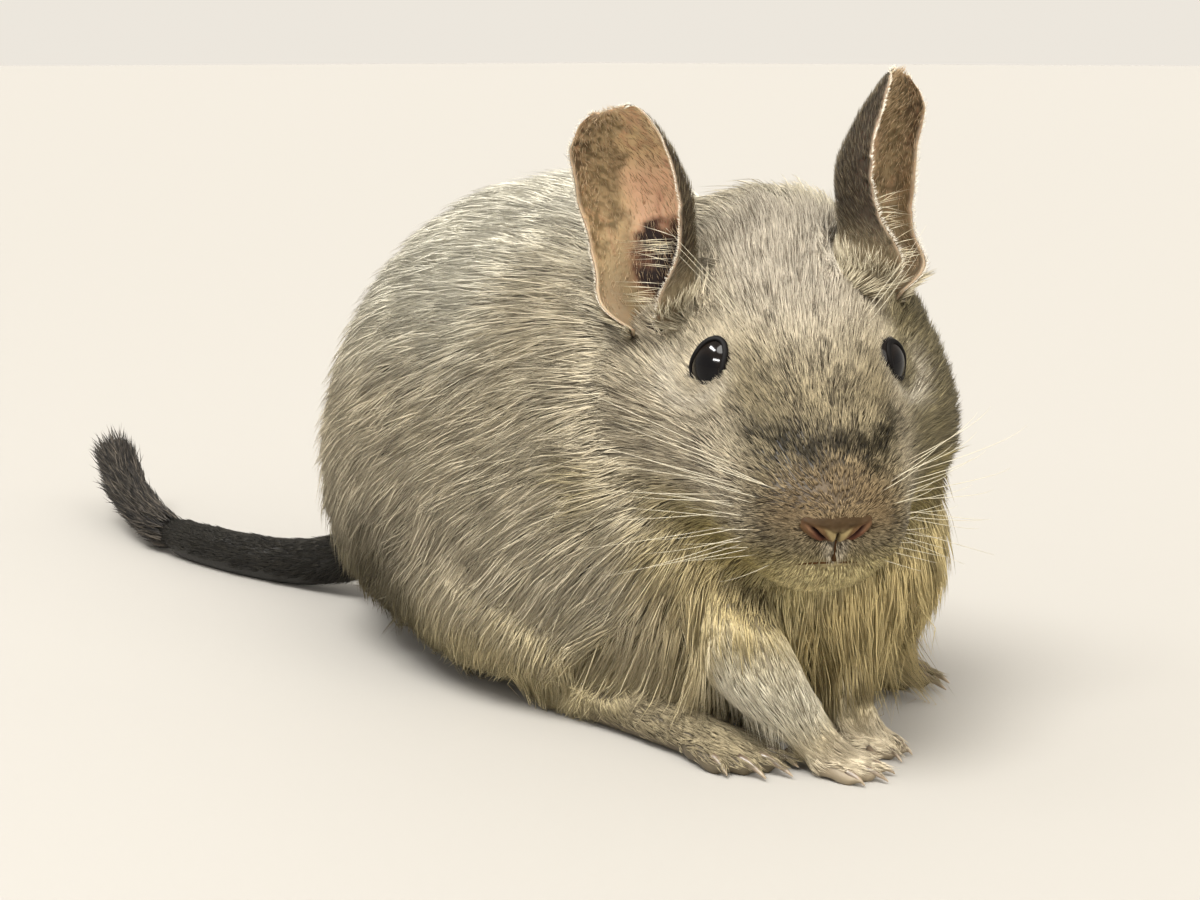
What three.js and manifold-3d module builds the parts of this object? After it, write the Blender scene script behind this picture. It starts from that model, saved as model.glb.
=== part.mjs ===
// A life-size degu, a small rodent, crouched on the floor with its head turned to its right.
// Frame: millimetres, +Z up, head towards -Y, the animal's left is +X. The origin is on the floor under the belly.
// The forms are the outside of the coat. The whole body is divided into its parts, with GAP between parts that touch.
import * as THREE from "three";
import { mergeVertices } from "three/addons/utils/BufferGeometryUtils.js";
import Module from "manifold-3d";

const wasm = await Module();
wasm.setup();

// Driving sizes
const GAP = 0.3;
const FLOOR = 0;
const HEAD_PLACE = new THREE.Vector3(-10.1, -44.2, 48); // the point midway between the eyes
const HEAD_YAW = THREE.MathUtils.degToRad(-38); // turned to the animal's right
const HEAD_PITCH = THREE.MathUtils.degToRad(15); // nose down
const NECK_Y = 17; // in the head's own frame, where the head ends and the neck starts
const EYE_RADIUS = 4.6;
const EYE_PLACE = new THREE.Vector3(8.4, 0.5, -0.6);
const EYE_AZIMUTH = THREE.MathUtils.degToRad(53); // from straight ahead out to the side
const EYE_ELEVATION = THREE.MathUtils.degToRad(8);
const LID_RING = { width: 3.65, height: 3.65 };
const LID_SECTION = { width: 0.7, thickness: 0.5 };
const EAR_LENGTH = 26.0;
const EAR_WALL = 1.1;
const EAR_SOCKET_DEPTH = 8; // up to this height the ear's cup is cleared of the head
// Each ear's root in the head's frame, and in degrees how far it leans out, tilts back and opens outward
const EAR_RIGHT = { root: [12.4, 13.5, 2.2], lean: 21, tilt: -12.5, turn: 42 };
const EAR_LEFT = { root: [6.8, 10.8, 7.2], lean: 17.5, tilt: -17.5, turn: 50 };
const TAIL_SPLITS = [0.36, 0.66]; // shares of the tail's length

// Shape helpers

// A smooth curve through the rows of a table: each row is [t, ...values]. Between two rows it is a cubic
// whose slope at a row is the mean slope of the row's two neighbours.
function smoothTable(rows) {
  const slope = (i, k) => {
    const before = rows[Math.max(i - 1, 0)];
    const after = rows[Math.min(i + 1, rows.length - 1)];
    return (after[k] - before[k]) / (after[0] - before[0]);
  };
  return (t) => {
    let i = 0;
    while (i < rows.length - 2 && t > rows[i + 1][0]) i++;
    const [a, b] = [rows[i], rows[i + 1]];
    const h = b[0] - a[0];
    const s = (t - a[0]) / h;
    const value = (_, j) => {
      const k = j + 1;
      const rise = 3 * s * s - 2 * s * s * s;
      const start = s - 2 * s * s + s * s * s;
      const end = s * s * s - s * s;
      return a[k] * (1 - rise) + b[k] * rise + h * (slope(i, k) * start + slope(i + 1, k) * end);
    };
    return a.slice(1).map(value);
  };
}

// A number raised to a power with its sign kept.
const signedPower = (x, power) => Math.sign(x) * Math.abs(x) ** power;

const spread = (low, high, count) => Array.from({ length: count }, (_, i) => low + ((high - low) * i) / (count - 1));

// An indexed geometry from points and triangles.
function meshGeometry(points, triangles) {
  const flat = new Float32Array(points.flatMap((p) => [p.x, p.y, p.z]));
  const geometry = new THREE.BufferGeometry();
  geometry.setAttribute("position", new THREE.BufferAttribute(flat, 3));
  geometry.setIndex(triangles.flat());
  return geometry;
}

// A closed surface through rings of points, with a fan to a pole at each end.
function ringSurface(rings, startPole, endPole) {
  const sides = rings[0].length;
  const points = [...rings.flat(), startPole, endPole];
  const [first, last] = [points.length - 2, points.length - 1];
  const triangles = [];
  const at = (ring, side) => ring * sides + (side % sides);
  for (let side = 0; side < sides; side++) {
    triangles.push([first, at(0, side + 1), at(0, side)]);
    triangles.push([last, at(rings.length - 1, side), at(rings.length - 1, side + 1)]);
    for (let ring = 0; ring + 1 < rings.length; ring++) {
      const [a, b] = [at(ring, side), at(ring, side + 1)];
      const [c, d] = [at(ring + 1, side + 1), at(ring + 1, side)];
      triangles.push([a, b, c], [a, c, d]);
    }
  }
  return meshGeometry(points, triangles);
}

// A closed wall between two grids of points, inner and outer, joined along all four borders.
function shellSurface(inner, outer) {
  const [rows, columns] = [inner.length, inner[0].length];
  const points = [...inner.flat(), ...outer.flat()];
  const near = (i, j) => i * columns + j;
  const far = (i, j) => rows * columns + near(i, j);
  const triangles = [];
  const quad = (a, b, c, d) => triangles.push([a, b, c], [a, c, d]);
  for (let i = 0; i + 1 < rows; i++) {
    for (let j = 0; j + 1 < columns; j++) {
      quad(near(i, j), near(i, j + 1), near(i + 1, j + 1), near(i + 1, j));
      triangles.push([far(i, j), far(i + 1, j + 1), far(i, j + 1)], [far(i, j), far(i + 1, j), far(i + 1, j + 1)]);
    }
    quad(near(i, 0), near(i + 1, 0), far(i + 1, 0), far(i, 0));
    quad(near(i + 1, columns - 1), near(i, columns - 1), far(i, columns - 1), far(i + 1, columns - 1));
  }
  for (let j = 0; j + 1 < columns; j++) {
    quad(near(0, j + 1), near(0, j), far(0, j), far(0, j + 1));
    quad(near(rows - 1, j), near(rows - 1, j + 1), far(rows - 1, j + 1), far(rows - 1, j));
  }
  return meshGeometry(points, triangles);
}

// The solid of a closed geometry. A surface that came out with its faces inwards is turned round.
function solidOf(geometry) {
  const plain = geometry.clone();
  for (const name of ["normal", "uv"]) plain.deleteAttribute(name);
  const merged = mergeVertices(plain, 1e-4);
  const corners = Array.from(merged.index.array);
  const triangles = [];
  for (let i = 0; i < corners.length; i += 3) {
    const [a, b, c] = corners.slice(i, i + 3);
    if (a !== b && b !== c && a !== c) triangles.push([a, b, c]);
  }
  const build = (faces) =>
    new wasm.Manifold(
      new wasm.Mesh({
        numProp: 3,
        vertProperties: merged.attributes.position.array,
        triVerts: new Uint32Array(faces.flat()),
      }),
    );
  const made = build(triangles);
  return made.volume() > 0 ? made : build(triangles.map(([a, b, c]) => [a, c, b]));
}

function geometryOf(solid) {
  const mesh = solid.getMesh();
  const geometry = new THREE.BufferGeometry();
  geometry.setAttribute("position", new THREE.BufferAttribute(new Float32Array(mesh.vertProperties), 3));
  geometry.setIndex(new THREE.BufferAttribute(new Uint32Array(mesh.triVerts), 1));
  return geometry;
}

const moved = (solid, matrix) => solid.transform(matrix.elements);
const mirrored = (solid) => solid.mirror([1, 0, 0]);
const union = (solids) => solids.reduce((whole, piece) => whole.add(piece));
const without = (solid, cutters) => cutters.reduce((left, cutter) => left.subtract(cutter), solid);
const aboveFloor = (solid) => solid.trimByPlane([0, 0, 1], FLOOR);

// The largest closed body of a solid, so that a loose scrap of a cut is dropped.
function largest(solid) {
  const tidy = solid.simplify(0.06);
  return tidy.decompose().reduce((best, body) => (body.volume() > best.volume() ? body : best));
}

// A long body along -Y to +Y: rows of [t, y, x, z, half width, height above, depth below], with round or square
// sections by their exponents above and below. A bump moves the surface out, or in where its height is negative.
function bodyForm({ rows, exponents, bumps = [], steps, sides, grow = 0 }) {
  const at = smoothTable(rows);
  const power = smoothTable(exponents);
  const [start, end] = [rows[0][0], rows[rows.length - 1][0]];
  const raised = (point, middle) => {
    const out = point.clone().sub(middle);
    const reach = out.length();
    out.normalize();
    let lift = grow;
    for (const { place, width, height } of bumps) {
      for (const side of [-1, 1]) {
        const away = Math.hypot(point.x - side * place[0], point.y - place[1], point.z - place[2]);
        lift += height * Math.exp(-((away / width) ** 2)) * (place[0] === 0 ? 0.5 : 1);
      }
    }
    return middle.clone().addScaledVector(out, reach + lift);
  };
  const ring = (t) => {
    const [y, x, z, half, above, below] = at(t);
    const [top, bottom] = power(t);
    const middle = new THREE.Vector3(x, y, z);
    return Array.from({ length: sides }, (_, i) => {
      const angle = (2 * Math.PI * i) / sides;
      const [c, s] = [Math.cos(angle), Math.sin(angle)];
      const exponent = 2 / (s > 0 ? top : bottom);
      const rise = signedPower(s, exponent) * (s > 0 ? above : below);
      return raised(new THREE.Vector3(x + half * signedPower(c, exponent), y, z + rise), middle);
    });
  };
  const pole = (t, sign) => {
    const [y, x, z] = at(t);
    return new THREE.Vector3(x, y + sign * grow, z);
  };
  return ringSurface(steps.map(ring), pole(start, -Math.sign(rows[rows.length - 1][1] - rows[0][1])),
    pole(end, Math.sign(rows[rows.length - 1][1] - rows[0][1])));
}

// A limb, toe or tail: rows of [t, x, y, z, half width, half height], its sections square to the path. The ends
// are rounded over the first and last ring unless flat is set.
function limbForm({ rows, steps, sides, grow = 0, flat = false, from = rows[0][0], to = rows[rows.length - 1][0] }) {
  const at = smoothTable(rows);
  const place = (t) => new THREE.Vector3(...at(t).slice(0, 3));
  const direction = (t) => place(t + 0.01).sub(place(t - 0.01)).normalize();
  const ends = flat ? [] : sides > 10 ? [0.35, 0.8] : [0.65];
  const steep = Math.abs(place(to).sub(place(from)).normalize().z) > 0.7;
  const upright = steep ? new THREE.Vector3(0, 1, 0) : new THREE.Vector3(0, 0, 1);
  const ring = (t, shrink) => {
    const ahead = direction(t);
    const side = upright.clone().cross(ahead).normalize();
    const up = ahead.clone().cross(side).normalize();
    const [wide, high] = at(t).slice(3).map((r) => (r + grow) * shrink);
    const middle = place(t);
    return Array.from({ length: sides }, (_, i) => {
      const angle = (2 * Math.PI * (i + 0.5)) / sides;
      return middle.clone().addScaledVector(side, wide * Math.cos(angle)).addScaledVector(up, high * Math.sin(angle));
    });
  };
  const rings = spread(from, to, steps).map((t) => ring(t, 1));
  const [low, high] = [at(from), at(to)].map((row) => Math.min(row[3], row[4]) + grow);
  const cap = (t, sign, r) => ends.map((part) => {
    const made = ring(t, Math.sqrt(1 - part * part));
    return made.map((p) => p.addScaledVector(direction(t), sign * part * r));
  });
  const roundness = flat ? 0 : 1;
  return ringSurface(
    [...cap(from, -1, low).reverse(), ...rings, ...cap(to, 1, high)],
    place(from).addScaledVector(direction(from), -low * roundness),
    place(to).addScaledVector(direction(to), high * roundness),
  );
}

// An ellipsoid of the given half sizes, turned and placed.
function ellipsoid(halves, place, turn = [0, 0, 0], segments = 14) {
  const geometry = new THREE.SphereGeometry(1, segments, Math.round(segments * 0.7));
  geometry.scale(...halves);
  geometry.applyMatrix4(new THREE.Matrix4().makeRotationFromEuler(new THREE.Euler(...turn, "ZXY")));
  geometry.translate(...place);
  return solidOf(geometry);
}

// Head, in its own frame: the nose towards -Y, the crown up

const headMatrix = new THREE.Matrix4().compose(
  HEAD_PLACE,
  new THREE.Quaternion().setFromEuler(new THREE.Euler(HEAD_PITCH, 0, HEAD_YAW, "ZXY")),
  new THREE.Vector3(1, 1, 1),
);

const HEAD_ROWS = [
  [0, -25.0, 0, -9.8, 0, 0, 0],
  [1, -24.5, 0, -10.0, 3.8, 3.2, 4.2],
  [2, -23.0, 0, -10.2, 6.2, 5.4, 7.4],
  [3, -20.0, 0, -10.3, 8.6, 7.8, 10.2],
  [4, -15.0, 0, -9.9, 10.8, 10.4, 12.2],
  [5, -9.0, 0, -9.4, 12.9, 13.1, 13.6],
  [6, -3.0, 0, -9.0, 15.2, 15.6, 14.4],
  [7, 4.0, 0, -9.4, 18.8, 19.2, 14.4],
  [8, 11.0, 0, -9.8, 20.8, 22.6, 14.4],
  [9, 18.0, 0, -9.6, 21.0, 24.4, 14.4],
  [10, 25.0, 0, -9.0, 19.8, 23.8, 13.6],
  [11, 31.0, 0, -8.6, 16.2, 19.5, 11.5],
  [12, 35.0, 0, -8.0, 9.2, 11, 7.0],
  [13, 36.6, 0, -8.0, 0, 0, 0],
];
const HEAD_EXPONENTS = [
  [0, 2.2, 2.2],
  [3, 2, 2.2],
  [6, 1.75, 2.4],
  [8, 1.8, 2.6],
  [10, 2, 2.5],
  [13, 2, 2],
];
const HEAD_BUMPS = [
  { place: [18.5, 4, -15], width: 9, height: 3.4 }, // cheek
  { place: [6.8, -20, -12.5], width: 4, height: 1.2 }, // whisker pad
  { place: [9.5, -3, 4.5], width: 3.5, height: 0.7 }, // brow
  { place: [12.6, -1.5, -0.6], width: 4.2, height: -0.8 }, // hollow that the eye lies in
];
const HEAD_STEPS = [0.4, ...spread(0.9, 3, 6), ...spread(3.6, 8, 9), ...spread(9, 12, 4), 12.6];
const HEAD_SIDES = 32;

function headForm(grow = 0) {
  return solidOf(
    bodyForm({
      rows: HEAD_ROWS,
      exponents: HEAD_EXPONENTS,
      bumps: HEAD_BUMPS,
      steps: HEAD_STEPS,
      sides: HEAD_SIDES,
      grow,
    }),
  );
}

// Eyes and lids, made for the animal's left (+X) and mirrored for its right

const eyeAim = new THREE.Vector3(
  Math.sin(EYE_AZIMUTH) * Math.cos(EYE_ELEVATION),
  -Math.cos(EYE_AZIMUTH) * Math.cos(EYE_ELEVATION),
  Math.sin(EYE_ELEVATION),
);
const eyeBall = (radius) => {
  const ball = new THREE.SphereGeometry(radius, 16, 11);
  ball.rotateX(Math.PI / 2);
  ball.applyQuaternion(new THREE.Quaternion().setFromUnitVectors(new THREE.Vector3(0, 0, 1), eyeAim));
  ball.translate(...EYE_PLACE.toArray());
  return solidOf(ball);
};

// The lids: a rim round the eye's opening, a drop-shaped ring that lies on the ball, higher towards the brow.
function lidRim() {
  const side = new THREE.Vector3(0, 0, 1).cross(eyeAim).normalize();
  const up = eyeAim.clone().cross(side).normalize();
  const centre = (angle) => {
    const drop = 1 + 0.08 * Math.sin(angle) ** 3;
    const out = side.clone().multiplyScalar(LID_RING.width * Math.cos(angle));
    out.addScaledVector(up, LID_RING.height * drop * Math.sin(angle));
    const lift = Math.sqrt((EYE_RADIUS + 0.2) ** 2 - Math.min(out.lengthSq(), EYE_RADIUS ** 2));
    return EYE_PLACE.clone().add(out).addScaledVector(eyeAim, lift);
  };
  const turns = 20;
  const around = 6;
  const points = [];
  const triangles = [];
  for (let i = 0; i < turns; i++) {
    const angle = (2 * Math.PI * i) / turns;
    const middle = centre(angle);
    const away = middle.clone().sub(EYE_PLACE).normalize();
    const along = centre(angle + 0.01).sub(middle).normalize();
    const across = along.clone().cross(away).normalize();
    for (let j = 0; j < around; j++) {
      const turn = (2 * Math.PI * j) / around;
      const point = middle.clone().addScaledVector(away, LID_SECTION.thickness * Math.cos(turn));
      points.push(point.addScaledVector(across, LID_SECTION.width * Math.sin(turn)));
      const next = ((i + 1) % turns) * around;
      const [a, b] = [i * around + j, i * around + ((j + 1) % around)];
      const [c, d] = [next + ((j + 1) % around), next + j];
      triangles.push([a, b, c], [a, c, d]);
    }
  }
  return solidOf(meshGeometry(points, triangles));
}

// Ears: a cupped blade on a tube, in a frame of their own with the opening towards -Y and the tip up

// Rows of [share of the length, radius of the section's arc, half angle of the arc in degrees, set back].
const EAR_ROWS = [
  [0, 4.3, 150, 0],
  [0.15, 5.9, 123, 0.3],
  [0.3, 7, 92, 1.9],
  [0.5, 8.5, 77, 3.4],
  [0.7, 9.9, 57, 2.6],
  [0.8, 10.4, 49, 1.8],
  [0.88, 11.2, 40, 1],
  [0.95, 12, 28, 0.5],
  [1, 12.6, 12, 0.2],
];

function earShell(grow = 0) {
  const at = smoothTable(EAR_ROWS);
  const columns = spread(-1, 1, 12);
  const heights = [...spread(0, 0.8, 7), 0.88, 0.95, 1];
  const grid = (outward) =>
    heights.map((share, row) => {
      const [radius, degrees, back] = at(share);
      const half = THREE.MathUtils.degToRad(degrees) + grow / radius;
      const end = row === 0 ? -grow : row === heights.length - 1 ? grow : 0;
      return columns.map((v) => {
        const wall = EAR_WALL * (1 - 0.5 * v * v) * (1 - 0.45 * share);
        const r = radius + outward * (wall / 2 + grow);
        const y = r * Math.cos(v * half) - radius + back;
        return new THREE.Vector3(r * Math.sin(v * half), y, share * EAR_LENGTH + end);
      });
    });
  return solidOf(shellSurface(grid(-1), grid(1)));
}

// A round plug on the ear's axis, from height low to height high.
function earPlug(radius, low, high) {
  const plug = new THREE.CylinderGeometry(radius, radius, high - low, 24);
  plug.rotateX(Math.PI / 2);
  plug.translate(0, -EAR_ROWS[0][1], (low + high) / 2);
  return solidOf(plug);
}

const earMatrix = ({ root, lean, tilt, turn }) =>
  new THREE.Matrix4().compose(
    new THREE.Vector3(...root),
    new THREE.Quaternion().setFromEuler(
      new THREE.Euler(...[tilt, lean, turn].map(THREE.MathUtils.degToRad), "YXZ"),
    ),
    new THREE.Vector3(1, 1, 1),
  );
const earTube = EAR_ROWS[0][1] + EAR_WALL / 2;
const ear = (place) => moved(earShell().add(earPlug(earTube, 0, 1.4)), earMatrix(place));
const earSocket = (place) => {
  const root = earShell(GAP).add(earPlug(earTube + GAP, -GAP, 4));
  return moved(root.add(root.trimByPlane([0, 0, -1], -EAR_SOCKET_DEPTH).hull()), earMatrix(place));
};
const earLeft = ear(EAR_LEFT);
const earRight = mirrored(ear(EAR_RIGHT));
const earSockets = [earSocket(EAR_LEFT), mirrored(earSocket(EAR_RIGHT))];

// Mouth, nose and muzzle

// A point on the head's own surface at step t of its rows and an angle round the section, in degrees.
const headRow = smoothTable(HEAD_ROWS);
function onMuzzle(t, degrees, lift = 0) {
  const [y, x, z, half, above, below] = headRow(t);
  const angle = THREE.MathUtils.degToRad(degrees);
  const [c, s] = [Math.cos(angle), Math.sin(angle)];
  const height = s > 0 ? above : below;
  const out = new THREE.Vector3(c * half, 0, s * height);
  const reach = out.length();
  return new THREE.Vector3(x, y, z).addScaledVector(out.normalize(), reach + lift);
}

// A thin rod along points, round in section.
function rod(points, radius, sides = 6) {
  const rows = points.map((p, i) => [i, ...p.toArray(), radius, radius]);
  return solidOf(limbForm({ rows, steps: points.length * 2 - 1, sides }));
}

const MOUTH_SPAN = spread(-1, 1, 9);
const mouthLine = (lift, drop) => MOUTH_SPAN.map((s) => onMuzzle(1.4 + drop + 1.5 * s * s, -90 + 50 * s, lift));
const upperLip = rod(mouthLine(-0.55, -0.25), 0.85);
const lowerLip = rod(mouthLine(-0.45, 0.26), 0.75);
const mouthGroove = rod(mouthLine(0.1, 0), 0.36);
const philtrum = rod(spread(0.6, 1.35, 4).map((t) => onMuzzle(t, -90, 0.1)), 0.32);

const NOSE_PLACE = [0, -24.0, -9.1];
const NOSE_HALVES = [4.3, 1.5, 2.3];
const nosePad = (grow) => ellipsoid(NOSE_HALVES.map((half) => half + grow), NOSE_PLACE, [0.12, 0, 0], 16);
const nostril = (side) => ellipsoid([0.55, 1.5, 1.7], [side * 2.4, -25.1, -9.2], [0.1, side * -0.62, side * 0.35], 10);
const nose = without(nosePad(0), [nostril(1), nostril(-1)]);

const wholeHead = headForm();
const balls = [eyeBall(EYE_RADIUS + GAP), mirrored(eyeBall(EYE_RADIUS + GAP))];
const headCutters = [
  ...balls,
  ...earSockets,
  nosePad(GAP),
  mouthGroove,
  philtrum,
];
const headFront = union([wholeHead.trimByPlane([0, -1, 0], -NECK_Y), lidRim(), mirrored(lidRim()), upperLip, lowerLip]);
const head = without(headFront, headCutters);
const neck = without(wholeHead.trimByPlane([0, 1, 0], NECK_Y + GAP), earSockets);

// Torso

const TORSO_ROWS = [
  [0, 47.0, 0, 22, 0, 0, 0],
  [1, 45.6, 0, 22, 8.3, 10, 9],
  [2, 41.5, 0, 23.5, 15.4, 18.8, 16],
  [3, 34.5, 0, 26, 21.6, 27.2, 22.5],
  [4, 25.0, 0, 28, 26.4, 34.6, 27.4],
  [5, 12.0, 0, 29, 29.0, 39.0, 29.8],
  [6, -2.0, -0.3, 29, 29.6, 40.0, 29.8],
  [7, -15.0, -0.4, 27.4, 28.6, 39.4, 27.2],
  [8, -26.0, 0.2, 25, 26.4, 37, 23.8],
  [9, -36.0, 1.0, 22.4, 23.6, 32.6, 19.8],
  [10, -44.0, 1.6, 21.4, 19.4, 24.9, 15.4],
  [11, -49.0, 1.8, 21.6, 12.0, 15.0, 10],
  [12, -51.0, 1.6, 22, 0, 0, 0],
];
const TORSO_EXPONENTS = [
  [0, 2, 2.1],
  [6, 2.05, 2.3],
  [8, 1.8, 2.3],
  [12, 1.8, 2.1],
];
const torsoForm = solidOf(
  bodyForm({
    rows: TORSO_ROWS,
    exponents: TORSO_EXPONENTS,
    steps: [0.4, ...spread(1, 11, 13), 11.6],
    sides: 28,
  }),
);

// Legs: the shape of the left one is mirrored for the hind legs, and each foreleg has its own place

const HIND_LEG = [
  [0, 15, 27, 26, 7, 10],
  [1, 17.0, 17, 22.5, 9.6, 15],
  [2, 18.6, 5, 18.5, 10.6, 16],
  [3, 20.0, -6, 14.6, 9.8, 12.4],
  [4, 20.6, -14, 11.6, 7.6, 8.8],
];
const HIND_FOOT = [
  [0, 20.0, -12, 4.2, 3.0, 4.1],
  [1, 20.3, -21, 3.5, 3.3, 3.5],
  [2, 20.6, -31, 2.7, 3.7, 2.75],
  [3, 20.9, -38.5, 2.1, 4.2, 2.2],
  [4, 21.0, -42.5, 1.8, 3.9, 1.9],
];
const FORELEG_RIGHT = [
  [0, -9, -31, 24, 6.8, 7.6],
  [1, -14.4, -37.2, 18, 6.8, 7.6],
  [2, -17.9, -43, 13.2, 5.6, 6.4],
  [3, -18.2, -47.8, 9.4, 4.2, 4.6],
  [4, -17.2, -50.6, 6.6, 3.4, 3.3],
];
const FORELEG_LEFT = [
  [0, 3, -34, 26, 6.6, 7.4],
  [1, 1.0, -40, 20.5, 5.4, 6.2],
  [2, -2.6, -45.3, 14.6, 4.2, 4.4],
  [3, -4.2, -47.2, 9.0, 3.3, 3.4],
  [4, -4.7, -47.8, 5.6, 3.0, 2.8],
];

const leg = (rows, grow = 0, steps = 7) => solidOf(limbForm({ rows, steps, sides: 14, grow }));

// A paw: a palm along the ground and toes with claws, fanned out from the palm's end.
// toes are [offset across, angle in degrees, length], and place, heading and size set the whole paw.
function toe(root, heading, length, radius) {
  const ahead = new THREE.Vector3(Math.sin(heading), -Math.cos(heading), 0);
  const at = (share, z) => root.clone().addScaledVector(ahead, length * share).setZ(z);
  const rows = [
    [0, ...at(-0.35, root.z).toArray(), radius, radius],
    [1, ...at(0.3, root.z + 0.25).toArray(), radius * 0.98, radius * 1.05],
    [2, ...at(0.72, radius * 0.82).toArray(), radius * 0.9, radius * 0.9],
    [3, ...at(1, radius * 0.66).toArray(), radius * 0.72, radius * 0.72],
  ];
  const claw = [
    [0, ...at(0.86, radius * 1.05).toArray(), radius * 0.5, radius * 0.55],
    [1, ...at(1.2, radius * 1.2).toArray(), radius * 0.42, radius * 0.45],
    [2, ...at(1.48, radius * 0.75).toArray(), radius * 0.3, radius * 0.32],
    [3, ...at(1.62, radius * 0.34).toArray(), radius * 0.12, radius * 0.16],
  ];
  return [
    solidOf(limbForm({ rows, steps: 4, sides: 6 })),
    solidOf(limbForm({ rows: claw, steps: 4, sides: 4, flat: true })),
  ];
}

const toeSpread = (side, list) => list.map(([across, angle, length]) => [across * side, angle * side, length]);
const HIND_TOES = [
  [-3.5, -16, 3.8],
  [-2.0, -6, 5.6],
  [0.1, 0, 6.3],
  [2.1, 6, 5.7],
  [3.6, 16, 4.0],
];
const FORE_TOES = [
  [-2.5, -20, 2.9],
  [-0.9, -6, 3.8],
  [0.9, 6, 3.9],
  [2.5, 18, 3.2],
];

function paw(palmRows, toes, heading, radius) {
  const end = palmRows[palmRows.length - 1];
  const across = new THREE.Vector3(Math.cos(heading), Math.sin(heading), 0);
  const ahead = new THREE.Vector3(Math.sin(heading), -Math.cos(heading), 0);
  const root = new THREE.Vector3(end[1], end[2], end[3]);
  const made = toes.flatMap(([offset, angle, length]) => {
    const start = root.clone().addScaledVector(across, offset).addScaledVector(ahead, 0.6 - 0.12 * offset * offset);
    return toe(start.setZ(radius * 1.1), heading + THREE.MathUtils.degToRad(angle), length, radius);
  });
  return largest(aboveFloor(union([leg(palmRows, 0, 6), ...made])));
}

const HAND_LENGTH = 4.0;
function handRows(wrist, heading) {
  const ahead = new THREE.Vector3(Math.sin(heading), -Math.cos(heading), 0);
  const at = (reach, z) => wrist.clone().addScaledVector(ahead, reach).setZ(z).toArray();
  return [
    [0, ...at(-0.4, wrist.z), 2.9, 2.6],
    [1, ...at(HAND_LENGTH * 0.45, wrist.z * 0.68), 3.0, 2.4],
    [2, ...at(HAND_LENGTH * 0.85, 1.9), 3.1, 1.9],
    [3, ...at(HAND_LENGTH * 1.1, 1.4), 2.8, 1.5],
  ];
}
const HAND_RIGHT = { wrist: new THREE.Vector3(-17.0, -51.4, 5.6), heading: THREE.MathUtils.degToRad(20) };
const HAND_LEFT = { wrist: new THREE.Vector3(-4.4, -48.2, 5.0), heading: THREE.MathUtils.degToRad(-24) };
const LEFT_HIND_FOOT_BACK = 9; // the left hind foot stands this much further back

const hindFoot = paw(HIND_FOOT, HIND_TOES, THREE.MathUtils.degToRad(1), 1.45);
const hindFootRight = mirrored(hindFoot);
const hindFootLeft = hindFoot.translate([0, LEFT_HIND_FOOT_BACK, 0]);
const foreFoot = ({ wrist, heading }, side) => paw(handRows(wrist, heading), toeSpread(side, FORE_TOES), heading, 1.15);
const foreFootRight = foreFoot(HAND_RIGHT, -1);
const foreFootLeft = foreFoot(HAND_LEFT, 1);

const grownPalm = (rows) => solidOf(limbForm({ rows, steps: 6, sides: 14, grow: GAP }));
const hindSole = grownPalm(HIND_FOOT);
const hindSocketLeft = hindSole.translate([0, LEFT_HIND_FOOT_BACK, 0]);
const hindSocketRight = mirrored(hindSole);
const hindLegLeft = aboveFloor(without(leg(HIND_LEG), [hindSocketLeft]));
const hindLegRight = aboveFloor(without(mirrored(leg(HIND_LEG)), [hindSocketRight]));
const foreLegRight = aboveFloor(
  without(leg(FORELEG_RIGHT), [grownPalm(handRows(HAND_RIGHT.wrist, HAND_RIGHT.heading))]),
);
const foreLegLeft = aboveFloor(
  without(leg(FORELEG_LEFT), [
    grownPalm(handRows(HAND_LEFT.wrist, HAND_LEFT.heading)),
    leg(FORELEG_RIGHT, GAP),
  ]),
);

// Tail: one curve in three lengths, the last with a brush of stiff, tapered locks

const TAIL_ROWS = [
  [0, 0, 41, 15, 5.6, 5.6],
  [1, 0, 49, 9.6, 4.8, 4.8],
  [2, -1.2, 59, 5.4, 4.1, 4.1],
  [3, -2.8, 72, 3.7, 3.7, 3.7],
  [4, -3.8, 88, 3.5, 3.45, 3.5],
  [5, -2.6, 104, 3.8, 3.1, 3.1],
  [6, 1.4, 119, 6.4, 2.5, 2.5],
  [7, 7.0, 132, 9.6, 1.6, 1.6],
];
const TAIL_END = TAIL_ROWS.length - 1;
const tailAt = smoothTable(TAIL_ROWS);
const tailLength = (from, to, steps, grow = 0) =>
  solidOf(limbForm({ rows: TAIL_ROWS, steps, sides: 12, flat: true, from, to, grow }));
const splits = TAIL_SPLITS.map((share) => share * TAIL_END);
const halfGap = GAP / 2 / 14; // the tail's rows are about 14 mm apart

// A repeatable draw between 0 and 1.
function seededDraw(seed) {
  let state = seed;
  return () => {
    state = (state * 1664525 + 1013904223) % 4294967296;
    return state / 4294967296;
  };
}

const BRUSH = { rings: 7, around: 5, length: [9, 13], width: 1.4, thickness: 0.6, start: 4.85, end: 6.85 };

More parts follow.
